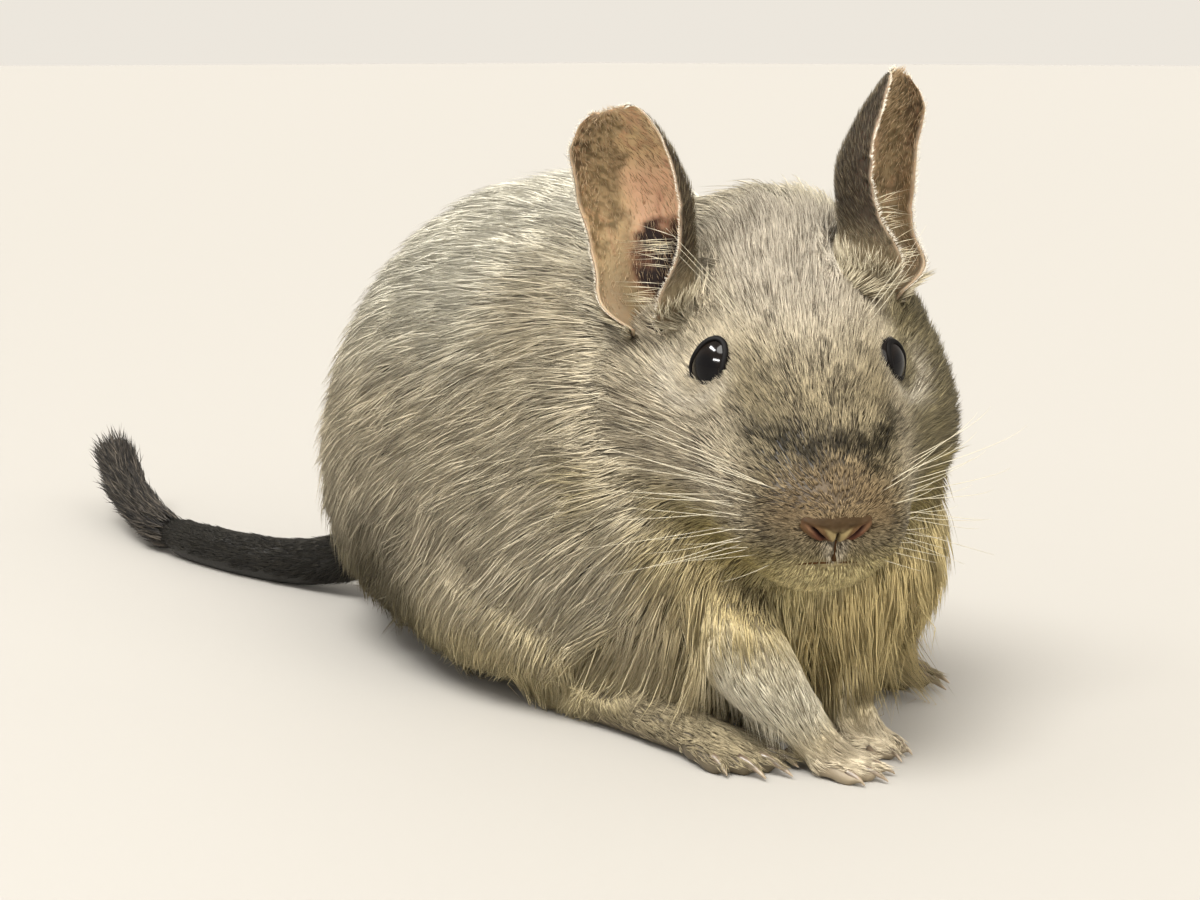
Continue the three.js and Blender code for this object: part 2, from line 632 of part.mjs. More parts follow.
function brushLock(t, angle, length, flare) {
  const here = new THREE.Vector3(...tailAt(t).slice(0, 3));
  const ahead = new THREE.Vector3(...tailAt(t + 0.01).slice(0, 3)).sub(here).normalize();
  const side = new THREE.Vector3(0, 0, 1).cross(ahead).normalize();
  const up = ahead.clone().cross(side);
  const out = side.clone().multiplyScalar(Math.cos(angle)).addScaledVector(up, Math.sin(angle));
  const flat = ahead.clone().cross(out).normalize();
  const core = tailAt(t)[3];
  const shape = [
    [-0.12, 1, 1],
    [0.3, 1, 0.95],
    [0.68, 0.72, 0.8],
  ];
  const spine = (share) => {
    const lift = core * 0.55 + flare * length * (share - 0.35 * share * share);
    const point = here.clone().addScaledVector(ahead, share * length).addScaledVector(out, lift);
    return point.setZ(Math.max(point.z, FLOOR + 1.1));
  };
  const ring = ([share, wide, thick]) => {
    const middle = spine(share);
    const corner = (across, through) =>
      middle.clone().addScaledVector(flat, across * BRUSH.width * wide)
        .addScaledVector(out, through * BRUSH.thickness * thick);
    return [corner(1, 0), corner(0, 1), corner(-1, 0), corner(0, -1)];
  };
  return solidOf(ringSurface(shape.map(ring), spine(-0.16), spine(1)));
}

function tailBrush() {
  const draw = seededDraw(7);
  const locks = [];
  spread(BRUSH.start, BRUSH.end, BRUSH.rings).forEach((t, ring) => {
    for (let i = 0; i < BRUSH.around; i++) {
      const angle = (2 * Math.PI * (i + 0.5 * (ring % 2) + 0.3 * (draw() - 0.5))) / BRUSH.around;
      const length = BRUSH.length[0] + (BRUSH.length[1] - BRUSH.length[0]) * draw();
      locks.push(brushLock(t, angle, length * (0.75 + 0.25 * (ring / BRUSH.rings)), 0.26 + 0.1 * draw()));
    }
  });
  return largest(union([tailLength(splits[1] + halfGap, TAIL_END, 7), ...locks]));
}

const tailRoot = tailLength(0, splits[0] - halfGap, 9);
const tailMiddle = aboveFloor(tailLength(splits[0] + halfGap, splits[1] - halfGap, 8));
const brushEnd = tailBrush();

// The torso gives way to what grows from it

const headInPlace = moved(headForm(GAP), headMatrix);
const leftHindSocket = leg(HIND_LEG, GAP);
const torso = without(aboveFloor(torsoForm), [
  headInPlace,
  ...earSockets.map((socket) => moved(socket, headMatrix)),
  leftHindSocket,
  mirrored(leftHindSocket),
  leg(FORELEG_RIGHT, GAP),
  leg(FORELEG_LEFT, GAP),
  hindSocketLeft,
  hindSocketRight,
  tailLength(0, splits[0], 9, GAP),
  solidOf(limbForm({ rows: TAIL_ROWS, steps: 3, sides: 14, from: 0, to: 0.4, grow: GAP })),
]);
const clearOfHead = (solid) => without(solid, [headInPlace]);

// The assembly

const coat = new THREE.MeshStandardMaterial({ color: 0x9b927c, roughness: 0.85, metalness: 0 });
const earSkin = new THREE.MeshStandardMaterial({ color: 0xb08f7d, roughness: 0.7, metalness: 0 });
const eyeGloss = new THREE.MeshStandardMaterial({ color: 0x0b0d10, roughness: 0.08, metalness: 0 });
const noseSkin = new THREE.MeshStandardMaterial({ color: 0x8b6553, roughness: 0.55, metalness: 0 });
const tailCoat = new THREE.MeshStandardMaterial({ color: 0x3a3630, roughness: 0.85, metalness: 0 });
const pawCoat = new THREE.MeshStandardMaterial({ color: 0x9a9184, roughness: 0.8, metalness: 0 });

function part(name, solid, material) {
  const mesh = new THREE.Mesh(geometryOf(largest(solid)), material);
  mesh.name = name;
  return mesh;
}

const degu = new THREE.Group();
const headGroup = new THREE.Group();
headGroup.applyMatrix4(headMatrix);
headGroup.add(
  part("head", head, coat),
  part("neck", neck, coat),
  part("nose", nose, noseSkin),
  part("eye_left", eyeBall(EYE_RADIUS), eyeGloss),
  part("eye_right", mirrored(eyeBall(EYE_RADIUS)), eyeGloss),
  part("ear_left", earLeft, earSkin),
  part("ear_right", earRight, earSkin),
);
degu.add(
  headGroup,
  part("torso", torso, coat),
  part("hindleg_left", hindLegLeft, coat),
  part("hindleg_right", hindLegRight, coat),
  part("hindfoot_left", hindFootLeft, pawCoat),
  part("hindfoot_right", hindFootRight, pawCoat),
  part("foreleg_left", clearOfHead(foreLegLeft), coat),
  part("foreleg_right", clearOfHead(foreLegRight), coat),
  part("forefoot_left", foreFootLeft, pawCoat),
  part("forefoot_right", foreFootRight, pawCoat),
  part("tail_root", tailRoot, tailCoat),
  part("tail_middle", tailMiddle, tailCoat),
  part("tail_brush", brushEnd, tailCoat),
);

export default degu;
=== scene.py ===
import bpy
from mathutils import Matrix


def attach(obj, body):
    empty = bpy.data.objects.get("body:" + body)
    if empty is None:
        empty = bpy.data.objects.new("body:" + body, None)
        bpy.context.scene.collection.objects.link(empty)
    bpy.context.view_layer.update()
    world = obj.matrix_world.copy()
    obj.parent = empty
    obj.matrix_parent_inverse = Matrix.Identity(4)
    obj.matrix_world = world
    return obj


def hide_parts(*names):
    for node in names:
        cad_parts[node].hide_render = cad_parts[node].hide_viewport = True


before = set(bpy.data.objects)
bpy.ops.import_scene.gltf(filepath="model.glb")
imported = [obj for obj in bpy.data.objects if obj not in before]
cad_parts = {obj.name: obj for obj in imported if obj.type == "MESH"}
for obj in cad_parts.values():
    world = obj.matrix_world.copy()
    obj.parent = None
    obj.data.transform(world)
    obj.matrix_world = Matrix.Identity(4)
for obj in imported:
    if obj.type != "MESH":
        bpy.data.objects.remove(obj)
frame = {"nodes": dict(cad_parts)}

"""The looks of a still, life-size degu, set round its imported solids.

Sizes are in millimetres in this file and become metres when a mesh is made.
The head, its eyes, ears, nose and mouth are placed in the head's own frame:
nose towards -Y, crown up, the animal's left at +X.
"""

import logging
import math
from dataclasses import dataclass, field
from enum import Enum
from typing import Callable, Sequence

import bpy
import numpy as np
from mathutils import Vector, kdtree

LOG = logging.getLogger("degu")
METRES = 0.001
Array = np.ndarray
Row = Sequence[float]


# Numbers and arrays


def unit(vectors: Array) -> Array:
    """Vectors divided by their lengths.

    Args:
        vectors: An array whose last axis holds the coordinates.

    Returns:
        The same array with every vector of length 1.
    """
    return vectors / np.maximum(np.linalg.norm(vectors, axis=-1, keepdims=True), 1e-9)


def smooth_step(low: float, high: float, values: Array) -> Array:
    """A soft step that rises from 0 at low to 1 at high as 3t^2 - 2t^3.

    Args:
        low: Where the step starts.
        high: Where the step ends. It may be below low for a falling step.
        values: The numbers to step.

    Returns:
        Numbers between 0 and 1.
    """
    t = np.clip((values - low) / (high - low), 0, 1)
    return t * t * (3 - 2 * t)


def smooth_table(rows: Sequence[Row]) -> Callable[[Array], Array]:
    """A smooth curve through the rows of a table.

    Each row is [t, ...values]. Between two rows each value is a cubic whose slope at a
    row is the mean slope of the row's two neighbours.

    Args:
        rows: The table, with t rising.

    Returns:
        A function from an array of t to an array of values.
    """
    table = np.array(rows, float)
    knots, values = table[:, 0], table[:, 1:]
    before = np.maximum(np.arange(len(knots)) - 1, 0)
    after = np.minimum(np.arange(len(knots)) + 1, len(knots) - 1)
    slopes = (values[after] - values[before]) / (knots[after] - knots[before])[:, None]

    def at(t: Array) -> Array:
        """The table's values at t, as the cubic of each interval."""
        t = np.asarray(t, float)
        i = np.clip(np.searchsorted(knots, t, side="right") - 1, 0, len(knots) - 2)
        h = (knots[i + 1] - knots[i])[..., None]
        s = (t - knots[i])[..., None] / h
        rise = 3 * s**2 - 2 * s**3
        start, end = s - 2 * s**2 + s**3, s**3 - s**2
        return values[i] * (1 - rise) + values[i + 1] * rise + h * (slopes[i] * start + slopes[i + 1] * end)

    return at


def lattice_noise(points: Array, size: float, seed: int) -> Array:
    """Smooth noise: random numbers on a cubic lattice, blended by soft steps between them.

    Args:
        points: Places in millimetres, one a row.
        size: The lattice's spacing in millimetres.
        seed: Which noise it is.

    Returns:
        One number from -1 to 1 for each point.
    """
    scaled = points / size + 1000.0
    cell = np.floor(scaled).astype(np.int64)
    part = scaled - cell
    part = part * part * (3 - 2 * part)
    total = np.zeros(len(points))
    for corner in range(8):
        step = np.array([corner & 1, (corner >> 1) & 1, (corner >> 2) & 1])
        at = cell + step
        mixed = (at[:, 0] * 73856093) ^ (at[:, 1] * 19349663) ^ (at[:, 2] * 83492791) ^ (seed * 2654435761)
        mixed = (mixed ^ (mixed >> 13)) * 1274126177
        value = ((mixed ^ (mixed >> 16)) & 0xFFFF) / 32767.5 - 1
        total += value * np.prod(np.where(step, part, 1 - part), axis=1)
    return total


def linear(colour: Sequence[float]) -> Array:
    """A colour of 0 to 255 as it is seen, turned into the linear values that a shader takes."""
    seen = np.array(colour, float) / 255
    return np.where(seen <= 0.04045, seen / 12.92, ((seen + 0.055) / 1.055) ** 2.4)


def rgba(colour: Sequence[float]) -> tuple[float, float, float, float]:
    """A colour of 0 to 255 as a shader socket's four linear values."""
    red, green, blue = (float(c) for c in linear(colour))
    return red, green, blue, 1.0


def mixed(base: Array, share: Array, colour: Sequence[float]) -> Array:
    """Linear colours, one a row, with so large a share of a seen colour mixed in."""
    return base + share[:, None] * (linear(colour) - base)


def between(first: Sequence[float], last: Sequence[float], share: Array) -> Array:
    """Linear colours, one a row, from a seen colour at share 0 to another one at share 1."""
    return mixed(np.tile(linear(first), (len(share), 1)), share, last)


def turn_about(axis: int, degrees: float) -> Array:
    """The matrix of a turn about one axis.

    Args:
        axis: 0, 1 or 2 for X, Y or Z.
        degrees: The angle.

    Returns:
        A 3 x 3 matrix.
    """
    c, s = math.cos(math.radians(degrees)), math.sin(math.radians(degrees))
    i, j = (axis + 1) % 3, (axis + 2) % 3
    made = np.eye(3)
    made[i, i] = made[j, j] = c
    made[i, j], made[j, i] = -s, s
    return made


def tree_of(points: Array) -> kdtree.KDTree:
    """A search tree of points, each numbered by its row."""
    tree = kdtree.KDTree(len(points))
    for row, place in enumerate(points.tolist()):
        tree.insert(place, row)
    tree.balance()
    return tree


def nearest_rows(tree: kdtree.KDTree, places: Array) -> Array:
    """For each place, the number of the tree's nearest point."""
    return np.array([tree.find(place)[1] for place in places.tolist()])


# Surfaces


@dataclass
class Shape:
    """Points in millimetres and the triangles and colours that go with them."""

    points: Array
    triangles: Array
    tints: Array | None = None
    bake: Array | None = None


def joined(shapes: Sequence[Shape]) -> Shape:
    """Several shapes as one, their points, triangles and colours set one after another."""
    offsets = np.cumsum([0] + [len(s.points) for s in shapes[:-1]])
    tints = None if shapes[0].tints is None else np.concatenate([s.tints for s in shapes])
    bake = None if shapes[0].bake is None else np.concatenate([s.bake for s in shapes])
    triangles = np.concatenate([s.triangles + o for s, o in zip(shapes, offsets)])
    return Shape(np.concatenate([s.points for s in shapes]), triangles, tints, bake)


def coloured(shape: Shape, colour: Sequence[float]) -> Shape:
    """The shape with one seen colour at every point."""
    shape.tints = np.tile(linear(colour), (len(shape.points), 1))
    return shape


def outward(shape: Shape) -> Shape:
    """The shape with its triangles turned so that its volume counts as positive."""
    a, b, c = (shape.points[shape.triangles[:, k]] for k in range(3))
    if np.einsum("ij,ij->i", a, np.cross(b, c)).sum() < 0:
        shape.triangles = shape.triangles[:, ::-1].copy()
    return shape


def rings_surface(rings: Array, start: Array, end: Array) -> Shape:
    """A closed surface through rings of points, with a fan of triangles to a pole at each end.

    Args:
        rings: Points of shape (rings, sides, 3).
        start: The pole before the first ring.
        end: The pole after the last ring.

    Returns:
        The closed shape, its points in the order rings, start, end.
    """
    count, sides = rings.shape[:2]
    points = np.concatenate([rings.reshape(-1, 3), [start, end]])
    ring, side = np.meshgrid(np.arange(count - 1), np.arange(sides), indexing="ij")
    a, b = ring * sides + side, ring * sides + (side + 1) % sides
    quads = [np.stack([a, b, b + sides], -1), np.stack([a, b + sides, a + sides], -1)]
    around = np.arange(sides)
    following = (around + 1) % sides
    top, last = count * sides, (count - 1) * sides
    fans = [
        np.stack([np.full(sides, top), following, around], -1),
        np.stack([np.full(sides, top + 1), last + around, last + following], -1),
    ]
    return outward(Shape(points, np.concatenate([q.reshape(-1, 3) for q in quads] + fans)))


def tube(path: Array, radii: Array, sides: int = 12, flat: float = 1.0) -> Shape:
    """A closed round bar along a path, its sections square to the path.

    Args:
        path: Points along the middle, of shape (n, 3).
        radii: The radius at each of them.
        sides: How many sides a section has.
        flat: The section's height as a share of its width.

    Returns:
        The closed shape.
    """
    ahead = unit(np.gradient(path, axis=0))
    steep = abs(unit(path[-1] - path[0])[2]) > 0.8
    side = unit(np.cross(np.array([0.0, 1.0, 0.0]) if steep else np.array([0.0, 0.0, 1.0]), ahead))
    above = np.cross(ahead, side)
    angle = np.linspace(0, 2 * np.pi, sides, endpoint=False)
    across = side[:, None] * np.cos(angle)[None, :, None]
    across = across + flat * above[:, None] * np.sin(angle)[None, :, None]
    rings = path[:, None] + across * radii[:, None, None]
    return rings_surface(rings, path[0] - ahead[0] * radii[0] * 0.5, path[-1] + ahead[-1] * radii[-1] * 0.5)


def put_mesh(name: str, shape: Shape, material: bpy.types.Material) -> bpy.types.Object:
    """Makes a smooth mesh object of a shape, riding on the part's one body.

    Args:
        name: The object's name.
        shape: Its surface, with a colour a point if it has tints.
        material: Its finish.

    Returns:
        The object, at the origin.
    """
    mesh = bpy.data.meshes.new(name)
    corners = shape.triangles.astype(np.int32).ravel()
    mesh.vertices.add(len(shape.points))
    mesh.vertices.foreach_set("co", (shape.points * METRES).astype(np.float32).ravel())
    mesh.loops.add(len(corners))
    mesh.loops.foreach_set("vertex_index", corners)
    mesh.polygons.add(len(shape.triangles))
    mesh.polygons.foreach_set("loop_start", np.arange(0, len(corners), 3, dtype=np.int32))
    mesh.update(calc_edges=True)
    mesh.shade_smooth()
    if shape.tints is not None:
        tints = np.ones((len(shape.points), 4), np.float32)
        tints[:, :3] = np.clip(shape.tints, 0, 1)
        mesh.color_attributes.new("tint", "FLOAT_COLOR", "POINT").data.foreach_set("color", tints.ravel())
    if shape.bake is not None:
        layer = mesh.uv_layers.new(name="OFBake")
        layer.uv.foreach_set("vector", shape.bake[corners].astype(np.float32).ravel())
    mesh.materials.append(material)
    made = bpy.data.objects.new(name, mesh)
    bpy.context.scene.collection.objects.link(made)
    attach(made, "root")
    LOG.info("%s: %d triangles", name, len(shape.triangles))
    return made


# Materials


class Signal:
    """A shader value that can be used in a sum or product, each adding one Math node."""

    def __init__(self, paint: "Paint", socket: bpy.types.NodeSocket) -> None:
        """Wraps an output socket of the material that paint builds."""
        self.paint = paint
        self.socket = socket

    def math(self, operation: str, first: object, second: object) -> "Signal":
        """One Math node of that operation on two values."""
        return self.paint.node("ShaderNodeMath", {"operation": operation}, {0: first, 1: second})

    def __add__(self, other: object) -> "Signal":
        """Sum."""
        return self.math("ADD", self, other)

    def __sub__(self, other: object) -> "Signal":
        """Difference."""
        return self.math("SUBTRACT", self, other)

    def __rsub__(self, other: object) -> "Signal":
        """Difference from a plain number."""
        return self.math("SUBTRACT", other, self)

    def __mul__(self, other: object) -> "Signal":
        """Product."""
        return self.math("MULTIPLY", self, other)

    __radd__ = __add__
    __rmul__ = __mul__


class Paint:
    """Builds one material's node tree round a Principled shader."""

    def __init__(self, name: str) -> None:
        """Makes the material and keeps its shader."""
        self.material = bpy.data.materials.new(name)
        self.material.use_nodes = True
        self.tree = self.material.node_tree
        self.shader = self.tree.nodes["Principled BSDF"]

    def node(self, kind: str, settings: dict, inputs: dict, output: int | str = 0) -> Signal:
        """Adds one node.

        Args:
            kind: The node's type.
            settings: Its own settings, which are made first.
            inputs: For each input socket a plain value or a signal.
            output: The output socket to hand back.

        Returns:
            That output as a signal.
        """
        made = self.tree.nodes.new(kind)
        for key, value in settings.items():
            setattr(made, key, value)
        for key, value in inputs.items():
            self.feed(made.inputs[key], value)
        return Signal(self, made.outputs[output])

    def feed(self, socket: bpy.types.NodeSocket, value: object) -> None:
        """Links a signal to a socket, or sets the socket to a plain value."""
        if isinstance(value, Signal):
            self.tree.links.new(value.socket, socket)
        else:
            socket.default_value = value

    def object_place(self) -> Signal:
        """The place on the object, in metres."""
        return self.node("ShaderNodeTexCoord", {}, {}, "Object")

    def noise(self, place: Signal, scale: float, detail: float = 2.0) -> Signal:
        """Soft noise from 0 to 1, with so many waves a metre."""
        inputs = {"Vector": place, "Scale": scale, "Detail": detail}
        return self.node("ShaderNodeTexNoise", {}, inputs, "Fac")

    def tint(self) -> Signal:
        """The colour that the mesh carries at each point."""
        return self.node("ShaderNodeAttribute", {"attribute_name": "tint"}, {}, "Color")

    def shaded(self, colour: Signal, amount: Signal) -> Signal:
        """The colour times a grey amount."""
        grey = self.node("ShaderNodeCombineColor", {}, {0: amount, 1: amount, 2: amount})
        settings = {"data_type": "RGBA", "blend_type": "MULTIPLY"}
        return self.node("ShaderNodeMix", settings, {0: 1.0, 6: colour, 7: grey}, 2)

    def bump(self, height: Signal, strength: float, distance: float) -> Signal:
        """A normal that follows a height, with the distance in metres."""
        inputs = {"Height": height, "Strength": strength, "Distance": distance}
        return self.node("ShaderNodeBump", {}, inputs, "Normal")


@dataclass(frozen=True)
class HairFinish:
    """Fur: a soft, slightly glossy surface in the colours that the hairs carry."""

    name: str
    roughness: float = 0.62
    gloss: float = 0.18

    def material(self) -> bpy.types.Material:
        """Makes the material."""
        paint = Paint(self.name)
        paint.feed(paint.shader.inputs["Base Color"], paint.tint())
        paint.shader.inputs["Roughness"].default_value = self.roughness
        paint.shader.inputs["Specular IOR Level"].default_value = self.gloss
        return paint.material


@dataclass(frozen=True)
class HideFinish:
    """Bare or thinly haired skin: the mesh's colours, fine mottling and a fine grain."""

    name: str
    roughness: float = 0.6
    gloss: float = 0.35
    mottle: float = 0.15
    grain: float = 1800.0
    relief: float = 0.00012
    soft: float = 0.0

    def material(self) -> bpy.types.Material:
        """Makes the material."""
        paint = Paint(self.name)
        place = paint.object_place()
        patches = paint.noise(place, self.grain * 0.25, 3.0)
        colour = paint.shaded(paint.tint(), patches * (2 * self.mottle) + (1 - self.mottle))
        paint.feed(paint.shader.inputs["Base Color"], colour)
        bumps = paint.bump(paint.noise(place, self.grain), 0.6, self.relief)
        paint.feed(paint.shader.inputs["Normal"], bumps)
        paint.shader.inputs["Roughness"].default_value = self.roughness
        paint.shader.inputs["Specular IOR Level"].default_value = self.gloss
        paint.shader.inputs["Subsurface Weight"].default_value = self.soft
        paint.shader.inputs["Subsurface Radius"].default_value = (1.0, 0.45, 0.3)
        paint.shader.inputs["Subsurface Scale"].default_value = 0.0012
        return paint.material


@dataclass(frozen=True)
class EyeFinish:
    """A wet, nearly black eye under a clear layer."""

    name: str = "eye_gloss"
    roughness: float = 0.12

    def material(self) -> bpy.types.Material:
        """Makes the material."""
        paint = Paint(self.name)
        paint.feed(paint.shader.inputs["Base Color"], paint.tint())
        paint.shader.inputs["Roughness"].default_value = self.roughness
        paint.shader.inputs["Specular IOR Level"].default_value = 0.08
        paint.shader.inputs["Coat Weight"].default_value = 0.16
        paint.shader.inputs["Coat Roughness"].default_value = 0.015
        return paint.material


@dataclass(frozen=True)
class FloorFinish:
    """A plain pale floor."""

    name: str = "studio_floor"
    colour: tuple[float, float, float] = (166, 163, 158)

    def material(self) -> bpy.types.Material:
        """Makes the material."""
        paint = Paint(self.name)
        paint.shader.inputs["Base Color"].default_value = rgba(self.colour)
        paint.shader.inputs["Roughness"].default_value = 0.7
        return paint.material


# The head's own frame


@dataclass(frozen=True)
class HeadFrame:
    """Where the head is and how it is turned: to the animal's right by yaw, nose down by pitch."""

    place: tuple[float, float, float] = (-10.1, -44.2, 48.0)
    yaw: float = -38.0
    pitch: float = 15.0

    def matrix(self) -> Array:
        """The turn from the head's frame to the world's."""
        return turn_about(2, self.yaw) @ turn_about(0, self.pitch)

    def world(self, points: Array) -> Array:
        """Points of the head's frame in the world's."""
        return points @ self.matrix().T + np.array(self.place)

    def world_direction(self, vectors: Array) -> Array:
        """Directions of the head's frame in the world's."""
        return vectors @ self.matrix().T

    def local(self, points: Array) -> Array:
        """Points of the world in the head's frame."""
        return (points - np.array(self.place)) @ self.matrix()


HEAD = HeadFrame()
NOSE_TIP = np.array([0.0, -24.6, -9.3])
EYE_PLACE = np.array([8.4, 0.5, -0.6])
EYE_RADIUS = 4.6
EYE_AZIMUTH, EYE_ELEVATION = math.radians(53), math.radians(8)
EYE_AIM = np.array(
    [
        math.sin(EYE_AZIMUTH) * math.cos(EYE_ELEVATION),
        -math.cos(EYE_AZIMUTH) * math.cos(EYE_ELEVATION),
        math.sin(EYE_ELEVATION),
    ]
)
MOUTH_HEIGHT = -13.9
GROOVE_TOP = -11.2
# Rows of y along the tail, then the middle's x and z and the radius
TAIL_ROWS = [
    [41, 0, 15, 5.6],
    [49, 0, 9.6, 4.8],
    [59, -1.2, 5.4, 4.1],
    [72, -2.8, 3.7, 3.7],
    [88, -3.8, 3.5, 3.5],
    [104, -2.6, 3.8, 3.1],
    [119, 1.4, 6.4, 2.5],
    [132, 7.0, 9.6, 1.6],
]
TAIL_START, TAIL_END = TAIL_ROWS[0][0], TAIL_ROWS[-1][0]


class Side(Enum):
    """The animal's own sides."""

    LEFT = 1
    RIGHT = -1

    @property
    def mirror(self) -> Array:
        """What places of the left side are multiplied by to lie on this side."""
        return np.array([self.value, 1, 1])


def eye_distance(local: Array) -> Array:
    """How far places in the head's frame are from the middle of the nearer eye's opening."""
    middle = EYE_PLACE + EYE_AIM * EYE_RADIUS
    folded = np.stack([np.abs(local[:, 0]), local[:, 1], local[:, 2]], -1)
    return np.linalg.norm(folded - middle, axis=1)


def lid_outline(angle: Array, side: Side) -> Array:
    """How far the lids' edge is from the eye's axis, at an angle from the rear side upward.

    The opening is a drop with its point up, a small corner low at the rear and a flat lower
    edge: a constant plus three waves around the axis.

    Args:
        angle: The angle in radians.
        side: Which eye; the photograph shows the right one wider open.

    Returns:
        The distances in millimetres.
    """
    wide = 1.0 if side is Side.RIGHT else 0.82
    reach = 2.56 + 0.3 * np.cos(angle) + 0.69 * np.sin(angle)
    reach = reach - 0.11 * np.cos(2 * angle) - 0.24 * np.sin(2 * angle)
    return wide * (reach - 0.02 * np.cos(3 * angle) - 0.3 * np.sin(3 * angle))


def eye_axes() -> tuple[Array, Array]:
    """The rearward and upward directions square to the left eye's aim."""
    side = unit(np.cross([0.0, 0.0, 1.0], EYE_AIM))
    return side, np.cross(EYE_AIM, side)


def from_eye(local: Array, side: Side) -> Array:
    """Places of the head's frame measured from one eye's middle, as if it were the left one."""
    return (local - EYE_PLACE * side.mirror) * side.mirror


def lid_gap(out: Array, side: Side) -> Array:
    """How far places, measured from an eye's middle as if it were the left one, lie outside its lids."""
    rear, up = eye_axes()
    across, high = out @ rear, out @ up
    return np.hypot(across, high) - lid_outline(np.arctan2(high, across), side)


# Colours of the coat, the same for the skin and the hairs


@dataclass(frozen=True)
class Markings:
    """The coat's colours over the body, each as a pale tip colour and a dark root colour, some of them
    painted light and shade: the rump pair is painted shadow, the cheek pair painted shade on the left cheek,
    the low pair partly painted shade and the chin pair partly painted light.
    """

    back: tuple = ((243, 239, 223), (122, 115, 99))
    flank: tuple = ((222, 211, 186), (68, 61, 44))
    # The yellower lower flank: its own colour, its pale tips partly darkened as painted shade near the floor.
    low: tuple = ((214, 198, 150), (74, 65, 42))
    chest: tuple = ((222, 203, 150), (104, 90, 56))
    # Painted shadow: a dark pair for the lower hind flank and rump.
    rump: tuple = ((84, 76, 50), (24, 21, 13))
    face: tuple = ((228, 215, 188), (76, 65, 46))
    crown: tuple = ((218, 208, 190), (100, 88, 70))
    bridge: tuple = ((176, 162, 130), (56, 46, 30))
    # Painted shade: a darker pair for the left cheek only, the side turned from the light.
    cheek: tuple = ((168, 156, 120), (58, 50, 34))
    jaw: tuple = ((192, 175, 112), (88, 76, 43))
    # Partly painted light: a pale chin made brighter still to lift the shade under it.
    chin: tuple = ((252, 238, 186), (160, 143, 98))
    muzzle: tuple = ((150, 130, 98), (88, 71, 47))
    saddle: tuple = ((50, 43, 24), (14, 12, 7))
    pale: tuple = ((236, 228, 210), (160, 146, 124))
    forearm: tuple = ((240, 233, 212), (150, 138, 112))
    forefoot: tuple = ((226, 214, 188), (138, 122, 96))
    hindfoot: tuple = ((168, 156, 126), (86, 74, 54))
    tail: tuple = ((66, 62, 52), (24, 22, 19))

    def both(self, name: str) -> Array:
        """A named pair as one row of six linear values, pale first."""
        tip, root = getattr(self, name)
        return np.concatenate([linear(tip), linear(root)])

    def blended(self, base: Array, name: str, share: Array) -> Array:
        """Base colours with so large a share of a named pair mixed in."""
        return base + share[:, None] * (self.both(name) - base)

    def colours(self, points: Array, regions: dict[str, Array]) -> Array:
        """Pale and dark colours at places on the coat.

        Regions are mixed by their weights, then each marking is a soft step or bell of the
        place: height on the body, and the place in the head's frame on the head.

        Args:
            points: World places, one a row.
            regions: For each region of the body, its share at each place.

        Returns:
            Six values a row: the pale colour and the dark colour.
        """
        made = np.tile(self.both("back"), (len(points), 1))
        made = self.on_body(made, points, regions)
        return self.on_head(made, HEAD.local(points), regions["head"])

    def on_body(self, made: Array, points: Array, regions: dict[str, Array]) -> Array:
        """The body's markings, limbs and tail over a base, by height, by length and by region, with painted
        shadow low on the rump and partly painted shade low on the flanks.
        """
        height = points[:, 2]
        made = self.blended(made, "flank", smooth_step(58, 40, height))
        # The lower flank's own yellower colour, partly darkened as painted shade near the floor.
        made = self.blended(made, "low", smooth_step(24, 8, height) * 0.8)
        # Painted shadow: the rump pair darkens the lower hind flank.
        rump = smooth_step(-3, 13, points[:, 1]) * smooth_step(36, 15, height) * 0.85
        made = self.blended(made, "rump", rump)
        chest = smooth_step(-30, -42, points[:, 1]) * smooth_step(50, 34, height)
        made = self.blended(made, "chest", chest)
        behind_ear = regions["torso"] * smooth_step(-2, -14, points[:, 1]) * smooth_step(68, 54, height)
        shoulder = np.maximum(regions["neck"] * 0.9, behind_ear * smooth_step(28, 40, height))
        made = self.blended(made, "flank", shoulder)
        right = smooth_step(-4, -10, points[:, 0])
        made = self.blended(made, "forearm", regions["foreleg"] * right * smooth_step(24, 10, height))
        made = self.blended(made, "hindfoot", regions["foreleg"] * (1 - right) * 0.7)
        made = self.blended(made, "tail", regions["tail"] + regions["brush"])
        made = self.blended(made, "forefoot", regions["forefoot"])
        return self.blended(made, "hindfoot", regions["hindfoot"])

    def on_head(self, made: Array, local: Array, head: Array) -> Array:
        """The head's markings over a base, by the place in the head's own frame, with painted shade on the
        left cheek and painted light under the chin.
        """
        left, along, high = local.T
        across = np.abs(left)
        made = self.blended(made, "face", head)
        # Painted shade: the left cheek darker than the right.
        made = self.blended(made, "cheek", head * smooth_step(9, 14, left))
        crown = smooth_step(1.5, 9, high) * smooth_step(13, 6, across)
        made = self.blended(made, "crown", head * crown * smooth_step(-17, -8, along))
        bridge = smooth_step(7, 0, high) * smooth_step(12, 7, across)
        made = self.blended(made, "bridge", head * bridge * smooth_step(2, -6, along))
        made = self.blended(made, "jaw", head * smooth_step(-11.5, -18, high))
        # Partly painted light: the pale chin brightened against the shade on the underside.
        chin = head * 0.9 * smooth_step(-12.5, -16, high) * smooth_step(9, 3, across)
        made = self.blended(made, "chin", chin)
        rise = 0.906 * high + 0.423 * along
        round_nose = np.linalg.norm((local - NOSE_TIP) * [1, 0.8, 1], axis=1)
        muzzle = head * smooth_step(10.5, 4.5, round_nose) * smooth_step(-22, -18, rise)
        made = self.blended(made, "muzzle", muzzle)
        made = self.blended(made, "saddle", head * self.saddle_share(local, rise))
        under_eye = np.exp(-(((eye_distance(local) - 5.0) / 1.5) ** 2)) * smooth_step(2.5, -3.5, high)
        made = self.blended(made, "pale", head * under_eye * 0.75)
        beside_groove = smooth_step(1.7, 0.6, across) * smooth_step(-10.9, -11.6, high)
        beside_groove = beside_groove * smooth_step(-14.2, -13.3, high)
        return self.blended(made, "crown", head * beside_groove * smooth_step(-16, -19, along) * 0.6)

